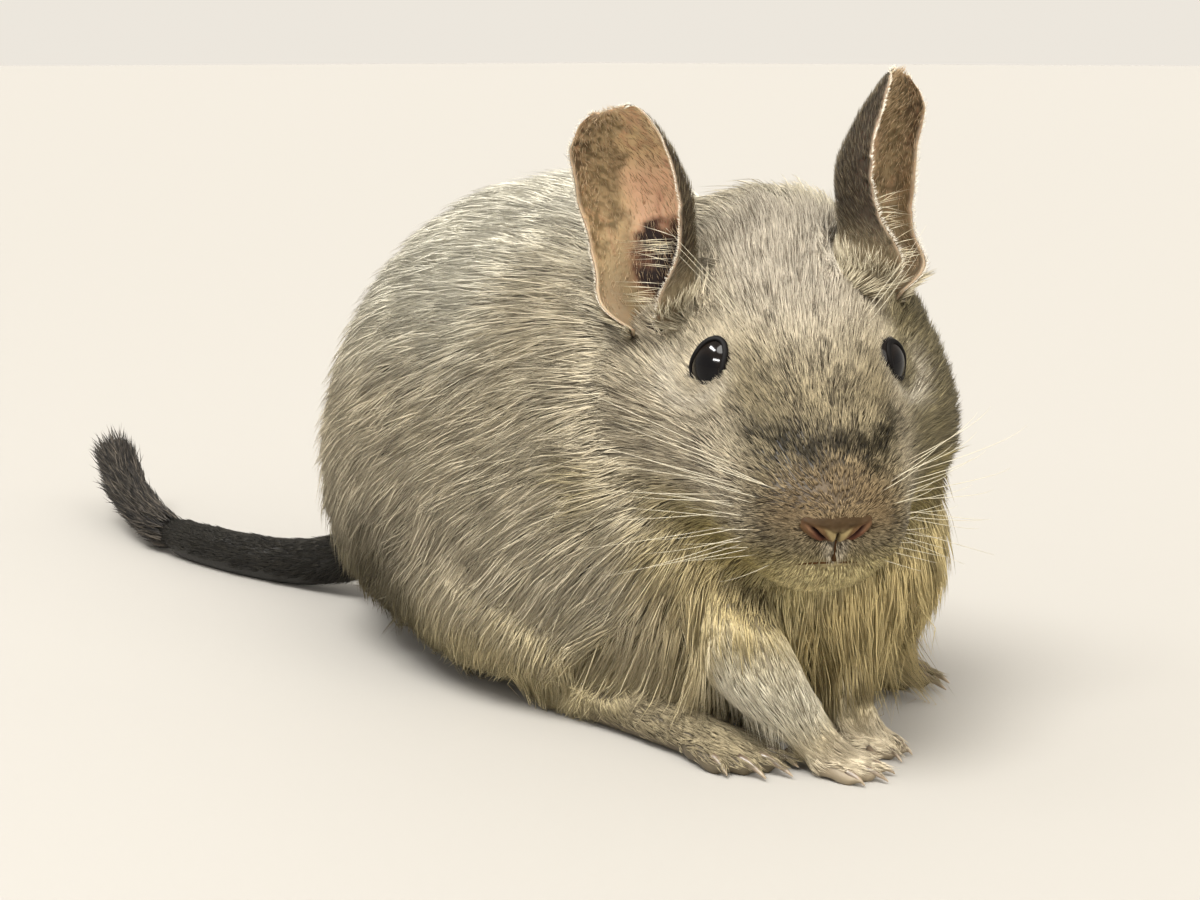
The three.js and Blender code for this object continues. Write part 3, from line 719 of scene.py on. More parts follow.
    def saddle_share(self, local: Array, rise: Array) -> Array:
        """The dark saddle over the muzzle: a bell across a curved line, broken up by noise.

        Args:
            local: Places in the head's frame.
            rise: How far up the muzzle's slope they lie.

        Returns:
            The saddle's share at each place.
        """
        left, along = local[:, 0], local[:, 1]
        across = np.abs(left)
        line = -10.6 + 0.026 * across**2 - 0.9 * np.exp(-((across - 4.5) ** 2) / 4)
        uneven = 1.3 * lattice_noise(local, 2.2, 71) + 0.9 * lattice_noise(local, 0.7, 72)
        band = np.exp(-(((rise - line + uneven) / 2.2) ** 2)) * smooth_step(11.5, 6.0, across)
        band = band * smooth_step(0, -6, along) * (1 - 0.4 * np.exp(-((left / 3) ** 2)))
        broken = 1.1 + 0.6 * lattice_noise(local, 1.2, 73) + 0.9 * lattice_noise(local, 0.35, 74)
        return np.clip(band * broken, 0, 0.97)


MARKINGS = Markings()


# The skin

LIMBS = ("foreleg", "forefoot", "hindleg", "hindfoot")


@dataclass
class Field:
    """How the hairs grow at each point of the skin."""

    flow: Array
    length: Array
    lift: Array
    density: Array
    loft: Array


@dataclass
class Skin:
    """One skin over head, neck, torso, legs and tail, under the coat by the coat's depth."""

    nodes: dict
    grain: float = 0.62
    swell: float = 0.24
    socket_fill: float = 0.2
    region_of: dict[str, str] = field(
        default_factory=lambda: {
            "torso": "torso",
            "neck": "neck",
            "head": "head",
            "nose": "head",
            **{f"{limb}_{side}": limb for limb in LIMBS for side in ("left", "right")},
            "tail_root": "tail",
            "tail_middle": "tail",
            "tail_brush": "brush",
        }
    )
    regions: tuple = ("torso", "neck", "head", *LIMBS, "tail", "brush")

    def node_surface(self, name: str) -> tuple[Array, Array]:
        """Points and triangles of a copy of one solid, merged and swollen along its normals.

        Args:
            name: The solid's name.

        Returns:
            Points in millimetres and triangles.
        """
        mesh = self.nodes[name].data
        points = np.empty(len(mesh.vertices) * 3, np.float32)
        mesh.vertices.foreach_get("co", points)
        mesh.calc_loop_triangles()
        corners = np.empty(len(mesh.loop_triangles) * 3, np.int32)
        mesh.loop_triangles.foreach_get("vertices", corners)
        grid = np.round(points.reshape(-1, 3) / METRES, 3)
        merged, index = np.unique(grid, axis=0, return_inverse=True)
        triangles = index.reshape(-1)[corners].reshape(-1, 3)
        proper = (triangles != np.roll(triangles, 1, axis=1)).all(axis=1)
        triangles = triangles[proper]
        return merged + self.swell * self.normals_of(merged, triangles), triangles

    def normals_of(self, points: Array, triangles: Array) -> Array:
        """Normals at the points, each the sum of its triangles' area vectors made unit."""
        a, b, c = (points[triangles[:, k]] for k in range(3))
        face = np.cross(b - a, c - a)
        total = np.zeros_like(points)
        for k in range(3):
            for axis in range(3):
                total[:, axis] += np.bincount(triangles[:, k], face[:, axis], len(points))
        return unit(total)

    def remeshed(self, points: Array, triangles: Array) -> tuple[Array, Array]:
        """The joined copies as one closed surface of even grain."""
        mesh = bpy.data.meshes.new("joined_copies")
        mesh.from_pydata((points * METRES).tolist(), [], triangles.tolist())
        whole = bpy.data.objects.new("joined_copies", mesh)
        bpy.context.scene.collection.objects.link(whole)
        remesh = whole.modifiers.new("one_surface", "REMESH")
        remesh.mode = "VOXEL"
        remesh.voxel_size = self.grain * METRES
        bpy.context.view_layer.update()
        made = whole.evaluated_get(bpy.context.evaluated_depsgraph_get()).to_mesh()
        made.calc_loop_triangles()
        co = np.empty(len(made.vertices) * 3, np.float32)
        made.vertices.foreach_get("co", co)
        corners = np.empty(len(made.loop_triangles) * 3, np.int32)
        made.loop_triangles.foreach_get("vertices", corners)
        bpy.data.objects.remove(whole)
        return co.reshape(-1, 3).astype(float) / METRES, corners.reshape(-1, 3)

    def spread_over(self, values: Array, rounds: int, share: float = 0.5) -> Array:
        """Values evened out over the surface: each round mixes a point with its neighbours' mean."""
        one, two = self.edges[:, 0], self.edges[:, 1]
        size = len(self.points)
        for _ in range(rounds):
            total = np.empty_like(values)
            for k in range(values.shape[1]):
                column = values[:, k]
                total[:, k] = np.bincount(one, column[two], size) + np.bincount(two, column[one], size)
            values = values + share * (total / self.degree[:, None] - values)
        return values

    def shape_surface(self) -> None:
        """Joins the copies, remeshes them, and finds each point's share of each region."""
        parts = [self.node_surface(name) for name in self.region_of]
        offsets = np.cumsum([0] + [len(p) for p, _ in parts[:-1]])
        joined_points = np.concatenate([p for p, _ in parts])
        joined_faces = np.concatenate([t + o for (_, t), o in zip(parts, offsets)])
        named = list(zip(parts, self.region_of.values()))
        labels = np.concatenate([np.full(len(p), self.regions.index(region)) for (p, _), region in named])
        keep = np.concatenate([np.full(len(t), region != "brush") for (_, t), region in named])
        core = joined([self.brush_core(), self.eye_filling(Side.LEFT), self.eye_filling(Side.RIGHT)])
        faces = np.concatenate([joined_faces[keep], core.triangles + len(joined_points)])
        self.points, self.triangles = self.remeshed(np.concatenate([joined_points, core.points]), faces)
        pairs = np.concatenate([self.triangles[:, pair] for pair in ([0, 1], [1, 2], [2, 0])])
        self.edges = np.unique(np.sort(pairs), axis=0)
        self.degree = np.bincount(self.edges.ravel(), minlength=len(self.points)).astype(float)
        nearest = nearest_rows(tree_of(joined_points), self.points)
        one_hot = np.eye(len(self.regions))[labels[nearest]]
        self.weights = self.spread_over(one_hot, 24)
        meeting = self.share("head") * (self.share("neck") + self.share("torso"))
        meeting = smooth_step(0.0, 0.3, meeting * 4)[:, None]
        for _ in range(4):
            eased = self.spread_over(self.points, 30)
            self.points = self.points + meeting * (eased - self.points)
        self.evened(6)

    def evened(self, rounds: int) -> None:
        """Smooths the skin without shrinking it: each round evens the points and then sharpens them."""
        for share in (0.5, -0.53) * rounds:
            self.points = self.spread_over(self.points, 1, share)

    def brush_core(self) -> Shape:
        """The bare end of the tail inside its brush: a tapering bar on the tail's curve."""
        y = np.linspace(96, TAIL_END, 24)
        x, z, radius = smooth_table(TAIL_ROWS)(y).T
        return tube(np.stack([x, y, z], -1), radius * 0.9, 16)

    def eye_filling(self, side: Side) -> Shape:
        """A ball that fills one eye's socket, so that the skin has no hollow there."""
        along = np.linspace(-1, 1, 24)[1:-1]
        radius = EYE_RADIUS + self.socket_fill
        middle = HEAD.world(np.array([EYE_PLACE * side.mirror]))
        path = middle + radius * along[:, None] * [0.0, 0.0, 1.0]
        return tube(path, radius * np.sqrt(1 - along**2), 32)

    def share(self, name: str) -> Array:
        """One region's share at each point."""
        return self.weights[:, self.regions.index(name)]

    def by_region(self, values: dict[str, Array]) -> Array:
        """Each region's numbers, mixed by the regions' shares at each point."""
        return sum(self.share(name) * values[name] for name in self.regions)

    def hair_field(self) -> Field:
        """The lie, length, lift and density of the coat at each point of the skin.

        The lie of each region is a simple field of directions, mixed by the regions' shares.
        Lengths and lifts are numbers for each region, mixed in the same way, with soft steps
        of the place.

        Returns:
            The field, one row a point.
        """
        local = HEAD.local(self.points)
        x, z = self.points[:, 0], self.points[:, 2]
        ones = np.ones(len(z))
        from_tip = np.linalg.norm(local - NOSE_TIP, axis=1)
        cheek = smooth_step(17, 30, from_tip) * smooth_step(2, -7, local[:, 2])
        beside_arm = smooth_step(6, 16, x) * smooth_step(34, 14, z)
        length = self.by_region(
            {
                "torso": (9.0 + 2.0 * smooth_step(40, 16, z)) * (1 - 0.5 * beside_arm),
                "neck": 7.0 * ones,
                "head": np.clip(0.7 + 0.135 * from_tip, 1.1, 6.0) + 3.0 * cheek,
                "foreleg": 3.6 + 2.4 * smooth_step(16, 28, z),
                "forefoot": 2.6 * ones,
                "hindleg": 6.5 * ones,
                "hindfoot": 2.4 * ones,
                "tail": 3.4 * ones,
                "brush": 3.4 * ones,
            }
        )
        lift = self.by_region(
            {
                "torso": 13 + 6 * smooth_step(40, 14, z),
                "neck": 17 * ones,
                "head": 15 + 5 * smooth_step(0, 8, local[:, 2]),
                "foreleg": 13 * ones,
                "forefoot": 12 * ones,
                "hindleg": 16 * ones,
                "hindfoot": 12 * ones,
                "tail": 18 * ones,
                "brush": 20 * ones,
            }
        )
        length = length * (0.5 + 0.5 * smooth_step(3.6, 8.5, eye_distance(local)))
        aside = smooth_step(4, 13, local[:, 0]) * smooth_step(15, 22, from_tip)
        loft = 1 + self.share("head") * (1.7 * smooth_step(14, 27, from_tip) - 0.4 + 1.8 * aside)
        density = self.face_density(local) * smooth_step(1.2, 2.6, z)
        return Field(self.lie(local, from_tip), length, np.radians(lift), density, loft)

    def lie(self, local: Array, from_tip: Array) -> Array:
        """The directions in which the hairs lie.

        Back and ever more down on the body, away from the nose on the head, along each leg,
        foot and the tail, mixed and evened over the surface. A direction that points into the
        skin is laid along it. One that leaves the skin keeps most of its rise, and less of it
        near the nose.

        Args:
            local: The skin's points in the head's frame.
            from_tip: Their distances from the nose's tip.

        Returns:
            A unit direction for each point.
        """
        x, y, z = self.points.T
        ones = np.ones(len(x))
        down = 0.08 + 0.5 * smooth_step(62, 40, z) + 0.75 * smooth_step(36, 12, z)
        breast = smooth_step(-30, -42, y) * smooth_step(52, 34, z)
        rump = smooth_step(30, 44, y)
        back = 1 - 0.75 * breast - 0.5 * rump
        body = np.stack([0.12 * np.sign(x) * ones, back, -down - 0.8 * breast - 0.7 * rump], -1)
        from_nose = unit(local - (NOSE_TIP + [0, 3.2, -0.9]))
        right = x < -7
        heading = np.where(right, math.radians(20), math.radians(-24))
        curve = smooth_table(TAIL_ROWS)
        tail_run = curve(np.clip(y + 1, TAIL_START, TAIL_END)) - curve(np.clip(y, TAIL_START, TAIL_END))
        tail = np.stack([tail_run[:, 0], ones, tail_run[:, 1]], -1)
        flows = {
            "torso": body,
            "neck": body,
            "head": HEAD.world_direction(unit(from_nose + [0, 0.12, 0.0])),
            "foreleg": np.where(right[:, None], [-0.2, -0.7, -0.7], [-0.3, -0.45, -0.85]),
            "forefoot": np.stack([np.sin(heading), -np.cos(heading), -0.12 * ones], -1),
            "hindleg": np.stack([0 * x, 0.35 * ones, -ones], -1),
            "hindfoot": np.stack([0 * x, -ones, -0.1 * ones], -1),
            "tail": tail,
            "brush": tail,
        }
        flow = sum(self.share(name)[:, None] * unit(flows[name]) for name in self.regions)
        normals = self.normals_of(self.points, self.triangles)
        flow = unit(self.spread_over(flow, 8))
        leaving = np.einsum("ij,ij->i", flow, normals)
        kept = (0.75 - 0.6 * smooth_step(14, 7, from_tip)) * np.clip(leaving, 0, 1)
        return unit(flow + (kept - leaving)[:, None] * normals)

    def face_density(self, local: Array) -> Array:
        """How densely hairs grow on the face: none in the lids or on the nose, few in the mouth's line.

        Args:
            local: The skin's points in the head's frame.

        Returns:
            A density for each point: 1 on plain coat, and more beside the lids and the nose.
        """
        gaps = [lid_gap(from_eye(local, side), side) for side in Side]
        gap = np.where(local[:, 0] > 0, gaps[0], gaps[1])
        lids = smooth_step(-0.05, 0.2, gap) * (1 + 2.5 * smooth_step(2.5, 1.0, gap))
        density = np.where(eye_distance(local) < 7, lids, 1.0)
        nose_gap = np.linalg.norm((local - [0, -24.2, -10.0]) / [4.0, 2.4, 1.6], axis=1)
        density = density * smooth_step(0.98, 1.08, nose_gap) * (1 + 2 * smooth_step(2.0, 1.1, nose_gap))
        across, high = np.abs(local[:, 0]), local[:, 2]
        seam = np.exp(-(((high - MOUTH_HEIGHT + 0.05 * across**2) / 0.4) ** 2))
        seam = seam * smooth_step(5.0, 3.6, across)
        split = smooth_step(MOUTH_HEIGHT - 0.3, MOUTH_HEIGHT + 0.3, high)
        split = np.exp(-((across / 0.35) ** 2)) * split * smooth_step(-10.8, -11.3, high)
        return density * (1 - 0.9 * np.maximum(seam, split) * smooth_step(-16, -19, local[:, 1]))

    def settle(self, hair: Field) -> None:
        """Draws the skin in by the coat's depth, in small steps with a light evening between them."""
        depth = 0.72 * hair.length * np.sin(hair.lift) + 0.12
        depth = depth * smooth_step(0.2, 2.5, self.points[:, 2])
        depth = depth + 0.5 * smooth_step(6.2, 4.4, eye_distance(HEAD.local(self.points)))
        depth = self.spread_over(depth[:, None], 10)[:, 0]
        steps = 6
        for _ in range(steps):
            normals = self.normals_of(self.points, self.triangles)
            self.points = self.points - normals * (depth / steps)[:, None]
            self.evened(1)

    def clear_eyes(self) -> None:
        """Sinks the skin into each eyeball inside the outline of its lids."""
        local = HEAD.local(self.points)
        for side in Side:
            out = from_eye(local, side)
            radius = np.linalg.norm(out, axis=1)
            inside = lid_gap(out, side) < 0.1
            near = inside & (out @ EYE_AIM > 0) & (radius < EYE_RADIUS + 3)
            shorter = np.where(near, np.minimum(radius, EYE_RADIUS - 0.6), radius)
            out = out * (shorter / np.maximum(radius, 1e-6))[:, None]
            local = out * side.mirror + EYE_PLACE * side.mirror
        self.points = HEAD.world(local)

    def build(self) -> None:
        """Shapes the skin, works out its coat's field and makes the mesh."""
        self.shape_surface()
        self.hair = self.hair_field()
        self.outer = self.points.copy()
        self.settle(self.hair)
        self.clear_eyes()
        self.normals = self.normals_of(self.points, self.triangles)
        gap = np.einsum("ij,ij->i", self.outer - self.points, self.normals)
        self.depth = np.clip(gap, 0.15, 4.0)
        self.tree = tree_of(self.points)
        both = MARKINGS.colours(self.outer, {name: self.share(name) for name in self.regions})
        tints = 0.1 * both[:, :3] + 0.6 * both[:, 3:]
        near = smooth_step(6.0, 4.0, eye_distance(HEAD.local(self.points)))
        tints = mixed(tints, 0.8 * near, (58, 50, 40))
        shape = Shape(self.points, self.triangles, tints)
        made = put_mesh("skin", shape, HideFinish("skin_under_coat", mottle=0.25, grain=1500.0).material())
        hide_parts(*(name for name in self.region_of if name != "nose"))


# The coat


BAKE_START = 0.002
BAKE_PATCH = 0.003


def spikes(spine: Array, across: Array, above: Array, widths: Array) -> tuple[Array, Array]:
    """Closed, pointed hairs: a point at the root, rings of three in between, a point at the tip.

    Args:
        spine: Middle points of shape (hairs, rings + 2, 3).
        across: A side direction for each hair.
        above: An upward direction for each hair.
        widths: Half widths of shape (hairs, rings).

    Returns:
        Points of shape (hairs, 3 x rings + 2, 3) and one hair's triangles.
    """
    flatness = 0.8
    count, rings = len(spine), spine.shape[1] - 2
    angle = np.radians([90, 210, 330])
    circle = across[:, None] * np.cos(angle)[None, :, None]
    circle = circle + flatness * above[:, None] * np.sin(angle)[None, :, None]
    middle = spine[:, 1:-1, None] + circle[:, None] * widths[:, :, None, None]
    points = np.concatenate([spine[:, :1], middle.reshape(count, rings * 3, 3), spine[:, -1:]], axis=1)
    faces = []
    for k in range(3):
        after = (k + 1) % 3
        faces.append([0, 1 + after, 1 + k])
        for ring in range(rings - 1):
            a, b = 1 + 3 * ring + k, 1 + 3 * ring + after
            faces += [[a, b, b + 3], [a, b + 3, a + 3]]
        last = 1 + 3 * (rings - 1)
        faces.append([last + k, last + after, 3 * rings + 1])
    return points, np.array(faces)


def hair_shape(points: Array, faces: Array, tints: Array, place: Array) -> Shape:
    """Many hairs as one shape, each with its own small patch of the unwrap.

    The patch runs from the root, through a row of three for each ring, to the tip.

    Args:
        points: Points of shape (hairs, points a hair, 3).
        faces: One hair's triangles.
        tints: A colour for each of the points.
        place: Where on the unwrap each hair's patch starts, of shape (hairs, 2).

    Returns:
        The hairs' shape.
    """
    count, per_hair = points.shape[:2]
    rings = (per_hair - 2) // 3
    across = [0.5] + [0.0, 0.5, 1.0] * rings + [0.5]
    up = [0.0, *np.repeat((np.arange(rings) + 1) / (rings + 1), 3), 1.0]
    bake = place[:, None] + BAKE_PATCH * np.stack([across, up], -1)[None]
    triangles = (faces[None] + (np.arange(count) * per_hair)[:, None, None]).reshape(-1, 3)
    return Shape(points.reshape(-1, 3), triangles, tints.reshape(-1, 3), bake.reshape(-1, 2))


@dataclass
class Layer:
    """One layer of hairs on the skin."""

    name: str
    shares: dict[str, float]
    count: int
    length: float = 1.0
    spread: float = 0.25
    lift: float = 1.0
    width: float = 0.11
    rings: int = 1
    clump: float = 0.45
    clump_size: int = 14
    stray: float = 0.12
    droop: float = 0.1
    pale: float = 0.55
    contrast: float = 0.35
    over: float = 0.8
    pieces: tuple = ("",)


@dataclass
class Coat:
    """The fur: layers of short pointed hairs that follow the lie of the coat."""

    skin: Skin
    seed: int = 11
    most_triangles: int = 196000
    layers: list[Layer] = field(
        default_factory=lambda: [
            Layer(
                "coat_body",
                {"torso": 1, "neck": 1, "hindleg": 0.9},
                104000,
                width=0.084,
                pale=0.86,
                contrast=0.78,
                pieces=("chest", "shoulders", "loins", "rump"),
            ),
            Layer(
                "guard_hairs",
                {"torso": 1, "neck": 0.8, "hindleg": 0.7},
                12000,
                length=1.25,
                lift=1.3,
                width=0.075,
                rings=2,
                clump=0.25,
                stray=0.16,
                pale=0.85,
                contrast=0.8,
                over=1.7,
            ),
            Layer(
                "coat_head",
                {"head": 1},
                64000,
                width=0.1,
                clump_size=7,
                clump=0.35,
                stray=0.16,
                lift=1.3,
                pale=0.68,
                contrast=0.85,
                over=0.6,
                pieces=("face", "cheeks"),
            ),
            Layer(
                "coat_legs",
                {"foreleg": 1.0, "forefoot": 2.4, "hindfoot": 1.8},
                22000,
                width=0.08,
                clump_size=8,
                stray=0.08,
                pale=0.74,
                contrast=0.55,
                over=0.35,
            ),
            Layer("coat_tail", {"tail": 1, "brush": 1}, 9000, width=0.1, clump_size=8, pale=0.35, over=0.5),
        ]
    )

    def sampled(self, layer: Layer, random: np.random.Generator) -> tuple[Array, Array]:
        """Random places on the skin, thicker where the layer's regions have more share.

        Args:
            layer: The layer.
            random: The seeded draws.

        Returns:
            The triangle of each place and its three corner shares.
        """
        skin = self.skin
        weight = sum(skin.share(name) * amount for name, amount in layer.shares.items())
        weight = weight * skin.hair.density
        corners = skin.triangles
        a, b, c = (skin.points[corners[:, k]] for k in range(3))
        area = np.linalg.norm(np.cross(b - a, c - a), axis=1)
        chance = np.cumsum(area * np.clip(weight[corners].mean(axis=1), 0, None) ** 1.2)
        picked = np.searchsorted(chance, random.random(layer.count) * chance[-1])
        one, two = random.random((2, layer.count))
        root = np.sqrt(one)
        return np.minimum(picked, len(corners) - 1), np.stack([1 - root, root * (1 - two), root * two], -1)

    def grown(self, layer: Layer) -> Shape:
        """All the hairs of one layer.

        Each hair starts just under the skin, leaves along the lie of the coat raised by the
        lift, bends down as the square of its length, and leans towards the tip of the nearest
        guide hair, so that tips gather in small locks.

        Args:
            layer: The layer.

        Returns:
            The hairs as one shape, in the order of their places along the body.
        """
        skin, random = self.skin, np.random.default_rng(self.seed + len(layer.name) * 7)
        triangle, share = self.sampled(layer, random)
        corners = skin.triangles[triangle]

        def over(values: Array) -> Array:
            """Values of the skin at the hairs' roots."""
            return np.einsum("ij,ij...->i...", share, values[corners])

        root = over(skin.points)
        order = np.argsort(root[:, 1])
        corners, share, root = corners[order], share[order], root[order]
        outer = over(skin.outer)
        normal, lie = unit(over(skin.normals)), over(skin.hair.flow)
        side = unit(np.cross(normal, lie))
        count = len(root)
        uneven = 1 - layer.spread + 2 * layer.spread * random.random(count)
        length = over(skin.hair.length) * layer.length * uneven
        wander = 0.22 * lattice_noise(root, 5.0, 3) + 0.12 * lattice_noise(root, 1.7, 4)
        sway = wander + layer.stray * random.normal(size=count)
        lie = unit(lie + side * sway[:, None])
        lift = over(skin.hair.lift) * layer.lift * (0.75 + 0.5 * random.random(count))
        lift = lift + 0.1 * lattice_noise(root, 2.6, 5)
        rise, run = np.sin(lift)[:, None], np.cos(lift)[:, None]
        steps = np.linspace(0, 1, layer.rings + 2)[None, :, None]
        if layer.rings == 1:
            steps = np.array([0, 0.42, 1])[None, :, None]
        reach = length[:, None, None]
        path = root[:, None] - 0.25 * normal[:, None]
        path = path + reach * steps * (lie * run)[:, None]
        path = path + reach * (steps - 0.32 * steps**2) * 1.25 * (normal * rise)[:, None]
        path[:, :, 2] -= (layer.droop * reach * steps**2)[:, :, 0] * 0.5
        path = self.gathered(path, root, length, layer, steps)
        over_coat = layer.over * over(skin.hair.loft) * (0.5 + random.random(count))
        path[:, 1:] = self.laid(path[:, 1:], steps[0, 1:, 0], over_coat)
        path[:, 1:, 2] = np.maximum(path[:, 1:, 2], 0.12)
        taper = np.array([1.0]) if layer.rings == 1 else np.array([1.0, 0.72])
        fine = 0.55 + 0.45 * np.clip(over(skin.hair.length) / 8, 0, 1)
        widths = layer.width * taper[None] * (fine * (0.7 + 0.6 * random.random(count)))[:, None]
        points, faces = spikes(path, side, normal, widths)
        tints = self.tinted(layer, outer, over, random)
        return hair_shape(points, faces, tints, self.unwrapped(root, layer))

    def gathered(self, path: Array, root: Array, length: Array, layer: Layer, steps: Array) -> Array:
        """The hairs' paths, leaning towards the path of the nearest guide hair as the share squared."""
        count = math.ceil(len(root) / layer.clump_size)
        guides = np.random.default_rng(5).permutation(len(root))[:count]
        nearest = guides[nearest_rows(tree_of(root[guides]), root)]
        self.guide = nearest
        same = (length / length[nearest])[:, None, None]
        target = root[nearest][:, None] + (path[nearest] - root[nearest][:, None]) * same
        return path + layer.clump * steps**1.3 * (target - path)

    def laid(self, path: Array, steps: Array, over: Array) -> Array:
        """The hairs' points brought to a height over the skin between a low and a high one.

        A height h over the skin becomes H(1 - e^(-h / H)), where H is the coat's depth and
        the hair's own share over it, less near the root.

        Args:
            path: Points of shape (hairs, points, 3).
            steps: How far along the hair each of them is.
            over: How far each hair's tip may stand over the coat's depth.

        Returns:
            The moved points.
        """
        skin = self.skin
        flat = path.reshape(-1, 3)
        nearest = nearest_rows(skin.tree, flat)
        normal = skin.normals[nearest]
        height = np.einsum("ij,ij->i", flat - skin.points[nearest], normal)
        share = np.tile(0.35 + 0.65 * steps, len(path))
        most = (skin.depth[nearest] + np.repeat(over, len(steps))) * share
        wanted = np.maximum(most * (1 - np.exp(-np.maximum(height, 0) / most)), 0.12 + 0.2 * share)
        return (flat + (wanted - height)[:, None] * normal).reshape(path.shape)

    def tinted(self, layer: Layer, outer: Array, over: Callable, random: np.random.Generator) -> Array:
        """A colour for every point: dark at the root, and at the tip pale or dark by lock and by hair."""
        shares = {name: over(self.skin.share(name)) for name in self.skin.regions}
        both = MARKINGS.colours(outer, shares)
        pale, dark = both[:, :3], both[:, 3:]
        count = len(outer)
        lock = random.random(count)[self.guide]
        streak = lattice_noise(outer, 3.2, 9)
        change = 0.65 * (lock - 0.5) + 0.22 * streak + 1.2 * (random.random(count) - 0.5)
        tone = np.clip(layer.pale + layer.contrast * change, 0, 1)[:, None]
        tip = dark * 0.85 + tone * (pale - dark * 0.85)
        middle = dark * 0.7 + (0.85 * tone) * (pale - dark * 0.7)
        base = dark * 0.5
        rows = [base] + [middle] * 3 * layer.rings + [tip]
        return np.stack(rows, axis=1)

    def unwrapped(self, root: Array, layer: Layer) -> Array:
        """Where each hair's patch starts on the unwrap of the skin's own shape.

        The unwrap is the angle round the body's long axis across and the place along it up,
        both in the head's frame for the head's coat.

        Args:
            root: The roots.
            layer: The layer.

        Returns:
            Map places, one a hair.
        """
        local = HEAD.local(root) if "head" in layer.shares else root
        low, high = local[:, 1].min(), local[:, 1].max()
        middle = np.median(local[:, [0, 2]], axis=0)
        around = np.arctan2(local[:, 0] - middle[0], local[:, 2] - middle[1]) / (2 * np.pi) + 0.5
        along = (local[:, 1] - low) / (high - low)
        return BAKE_START + (1 - BAKE_START - BAKE_PATCH - 0.002) * np.stack([around, along], -1)

    def build(self) -> None:
        """Grows every layer and makes its meshes."""
        finish = HairFinish("coat_hair").material()
        for layer in self.layers:
            whole = self.grown(layer)
            per_hair = 3 * layer.rings + 2
            each = 6 * layer.rings
            hairs = len(whole.points) // per_hair
            groups = max(len(layer.pieces), math.ceil(hairs * each / self.most_triangles))
            names = layer.pieces if len(layer.pieces) >= groups else tuple(str(i + 1) for i in range(groups))
            cuts = np.linspace(0, hairs, groups + 1).astype(int)
            for name, start, end in zip(names, cuts[:-1], cuts[1:]):
                part = Shape(
                    whole.points[start * per_hair : end * per_hair],
                    whole.triangles[start * each : end * each] - start * per_hair,
                    whole.tints[start * per_hair : end * per_hair],
                    whole.bake[start * per_hair : end * per_hair],
                )
                title = layer.name if len(names) == 1 else f"{layer.name}_{name}"
                put_mesh(title, part, finish)


# Eyes and lids


@dataclass
class Eyes:
    """Two dark, glossy balls and the rims of their lids."""

    rim_width: float = 0.36
    rim_height: float = 0.24

    def ball(self) -> Shape:
        """The left eyeball: a sphere with a slightly raised cornea in front, darker towards the pupil."""
        side, up = eye_axes()
        polar = np.linspace(0.05, np.pi - 0.05, 48)
        turn = np.linspace(0, 2 * np.pi, 64, endpoint=False)
        radius = EYE_RADIUS + 0.18 * np.exp(-((polar / 0.75) ** 4))
        rings = EYE_PLACE + radius[:, None, None] * (
            np.cos(polar)[:, None, None] * EYE_AIM
            + np.sin(polar)[:, None, None] * (np.cos(turn)[:, None] * side + np.sin(turn)[:, None] * up)
        )
        shape = rings_surface(rings, EYE_PLACE + EYE_AIM * radius[0], EYE_PLACE - EYE_AIM * EYE_RADIUS)
        away = np.arccos(np.clip(unit(shape.points - EYE_PLACE) @ EYE_AIM, -1, 1))
        iris = smooth_step(0.35, 0.5, away) * smooth_step(0.95, 0.8, away)
        shape.tints = between((7, 6, 8), (18, 13, 11), iris)
        return shape

    def lid(self, which: Side) -> Shape:
        """An eye's lid rim, as if the left one's: a rounded bar on the ball along the lids' outline."""
        side, up = eye_axes()
        angle = np.linspace(0, 2 * np.pi, 96, endpoint=False)
        section = np.linspace(0, 2 * np.pi, 16, endpoint=False)
        reach = lid_outline(angle, which)[:, None] + 0.15
        out = reach * (np.cos(angle)[:, None] * side + np.sin(angle)[:, None] * up)
        lift = np.sqrt((EYE_RADIUS + 0.14) ** 2 - np.minimum((out**2).sum(1), EYE_RADIUS**2))
        middle = EYE_PLACE + out + EYE_AIM * lift[:, None]
        away = unit(middle - EYE_PLACE)
        along = unit(np.roll(middle, -1, axis=0) - np.roll(middle, 1, axis=0))
        across = np.cross(along, away)
        rings = (
            middle[:, None]
            + away[:, None] * (self.rim_height * np.cos(section))[None, :, None]
            + across[:, None] * (self.rim_width * np.sin(section))[None, :, None]
        )
        around, count = len(angle), len(section)
        i, j = np.meshgrid(np.arange(around), np.arange(count), indexing="ij")
        a, b = i * count + j, i * count + (j + 1) % count
        c, d = ((i + 1) % around) * count + (j + 1) % count, ((i + 1) % around) * count + j
        halves = [np.stack(corners, -1).reshape(-1, 3) for corners in ([a, b, c], [a, c, d])]
        points = rings.reshape(-1, 3)
        share = smooth_step(0.35, 0.8, lid_gap(points - EYE_PLACE, which))
        tints = between((12, 10, 10), (26, 21, 18), share)
        return outward(Shape(points, np.concatenate(halves), tints))

    def build(self) -> None:
        """Makes both eyes and both lids."""
        gloss = EyeFinish().material()
        rim = HideFinish("lid_skin", roughness=0.6, gloss=0.08, mottle=0.08, grain=2500.0, relief=0.00005)
        rim = rim.material()
        for side in Side:
            for name, shape, finish in (("eye", self.ball(), gloss), ("lid", self.lid(side), rim)):
                if side is Side.RIGHT:
                    shape.points = shape.points * side.mirror
                    shape.triangles = shape.triangles[:, ::-1]
                shape.points = HEAD.world(shape.points)
                made = put_mesh(f"{name}_{side.name.lower()}_looks", shape, finish)
                if name == "eye":
                    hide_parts(f"eye_{side.name.lower()}")


# Ears


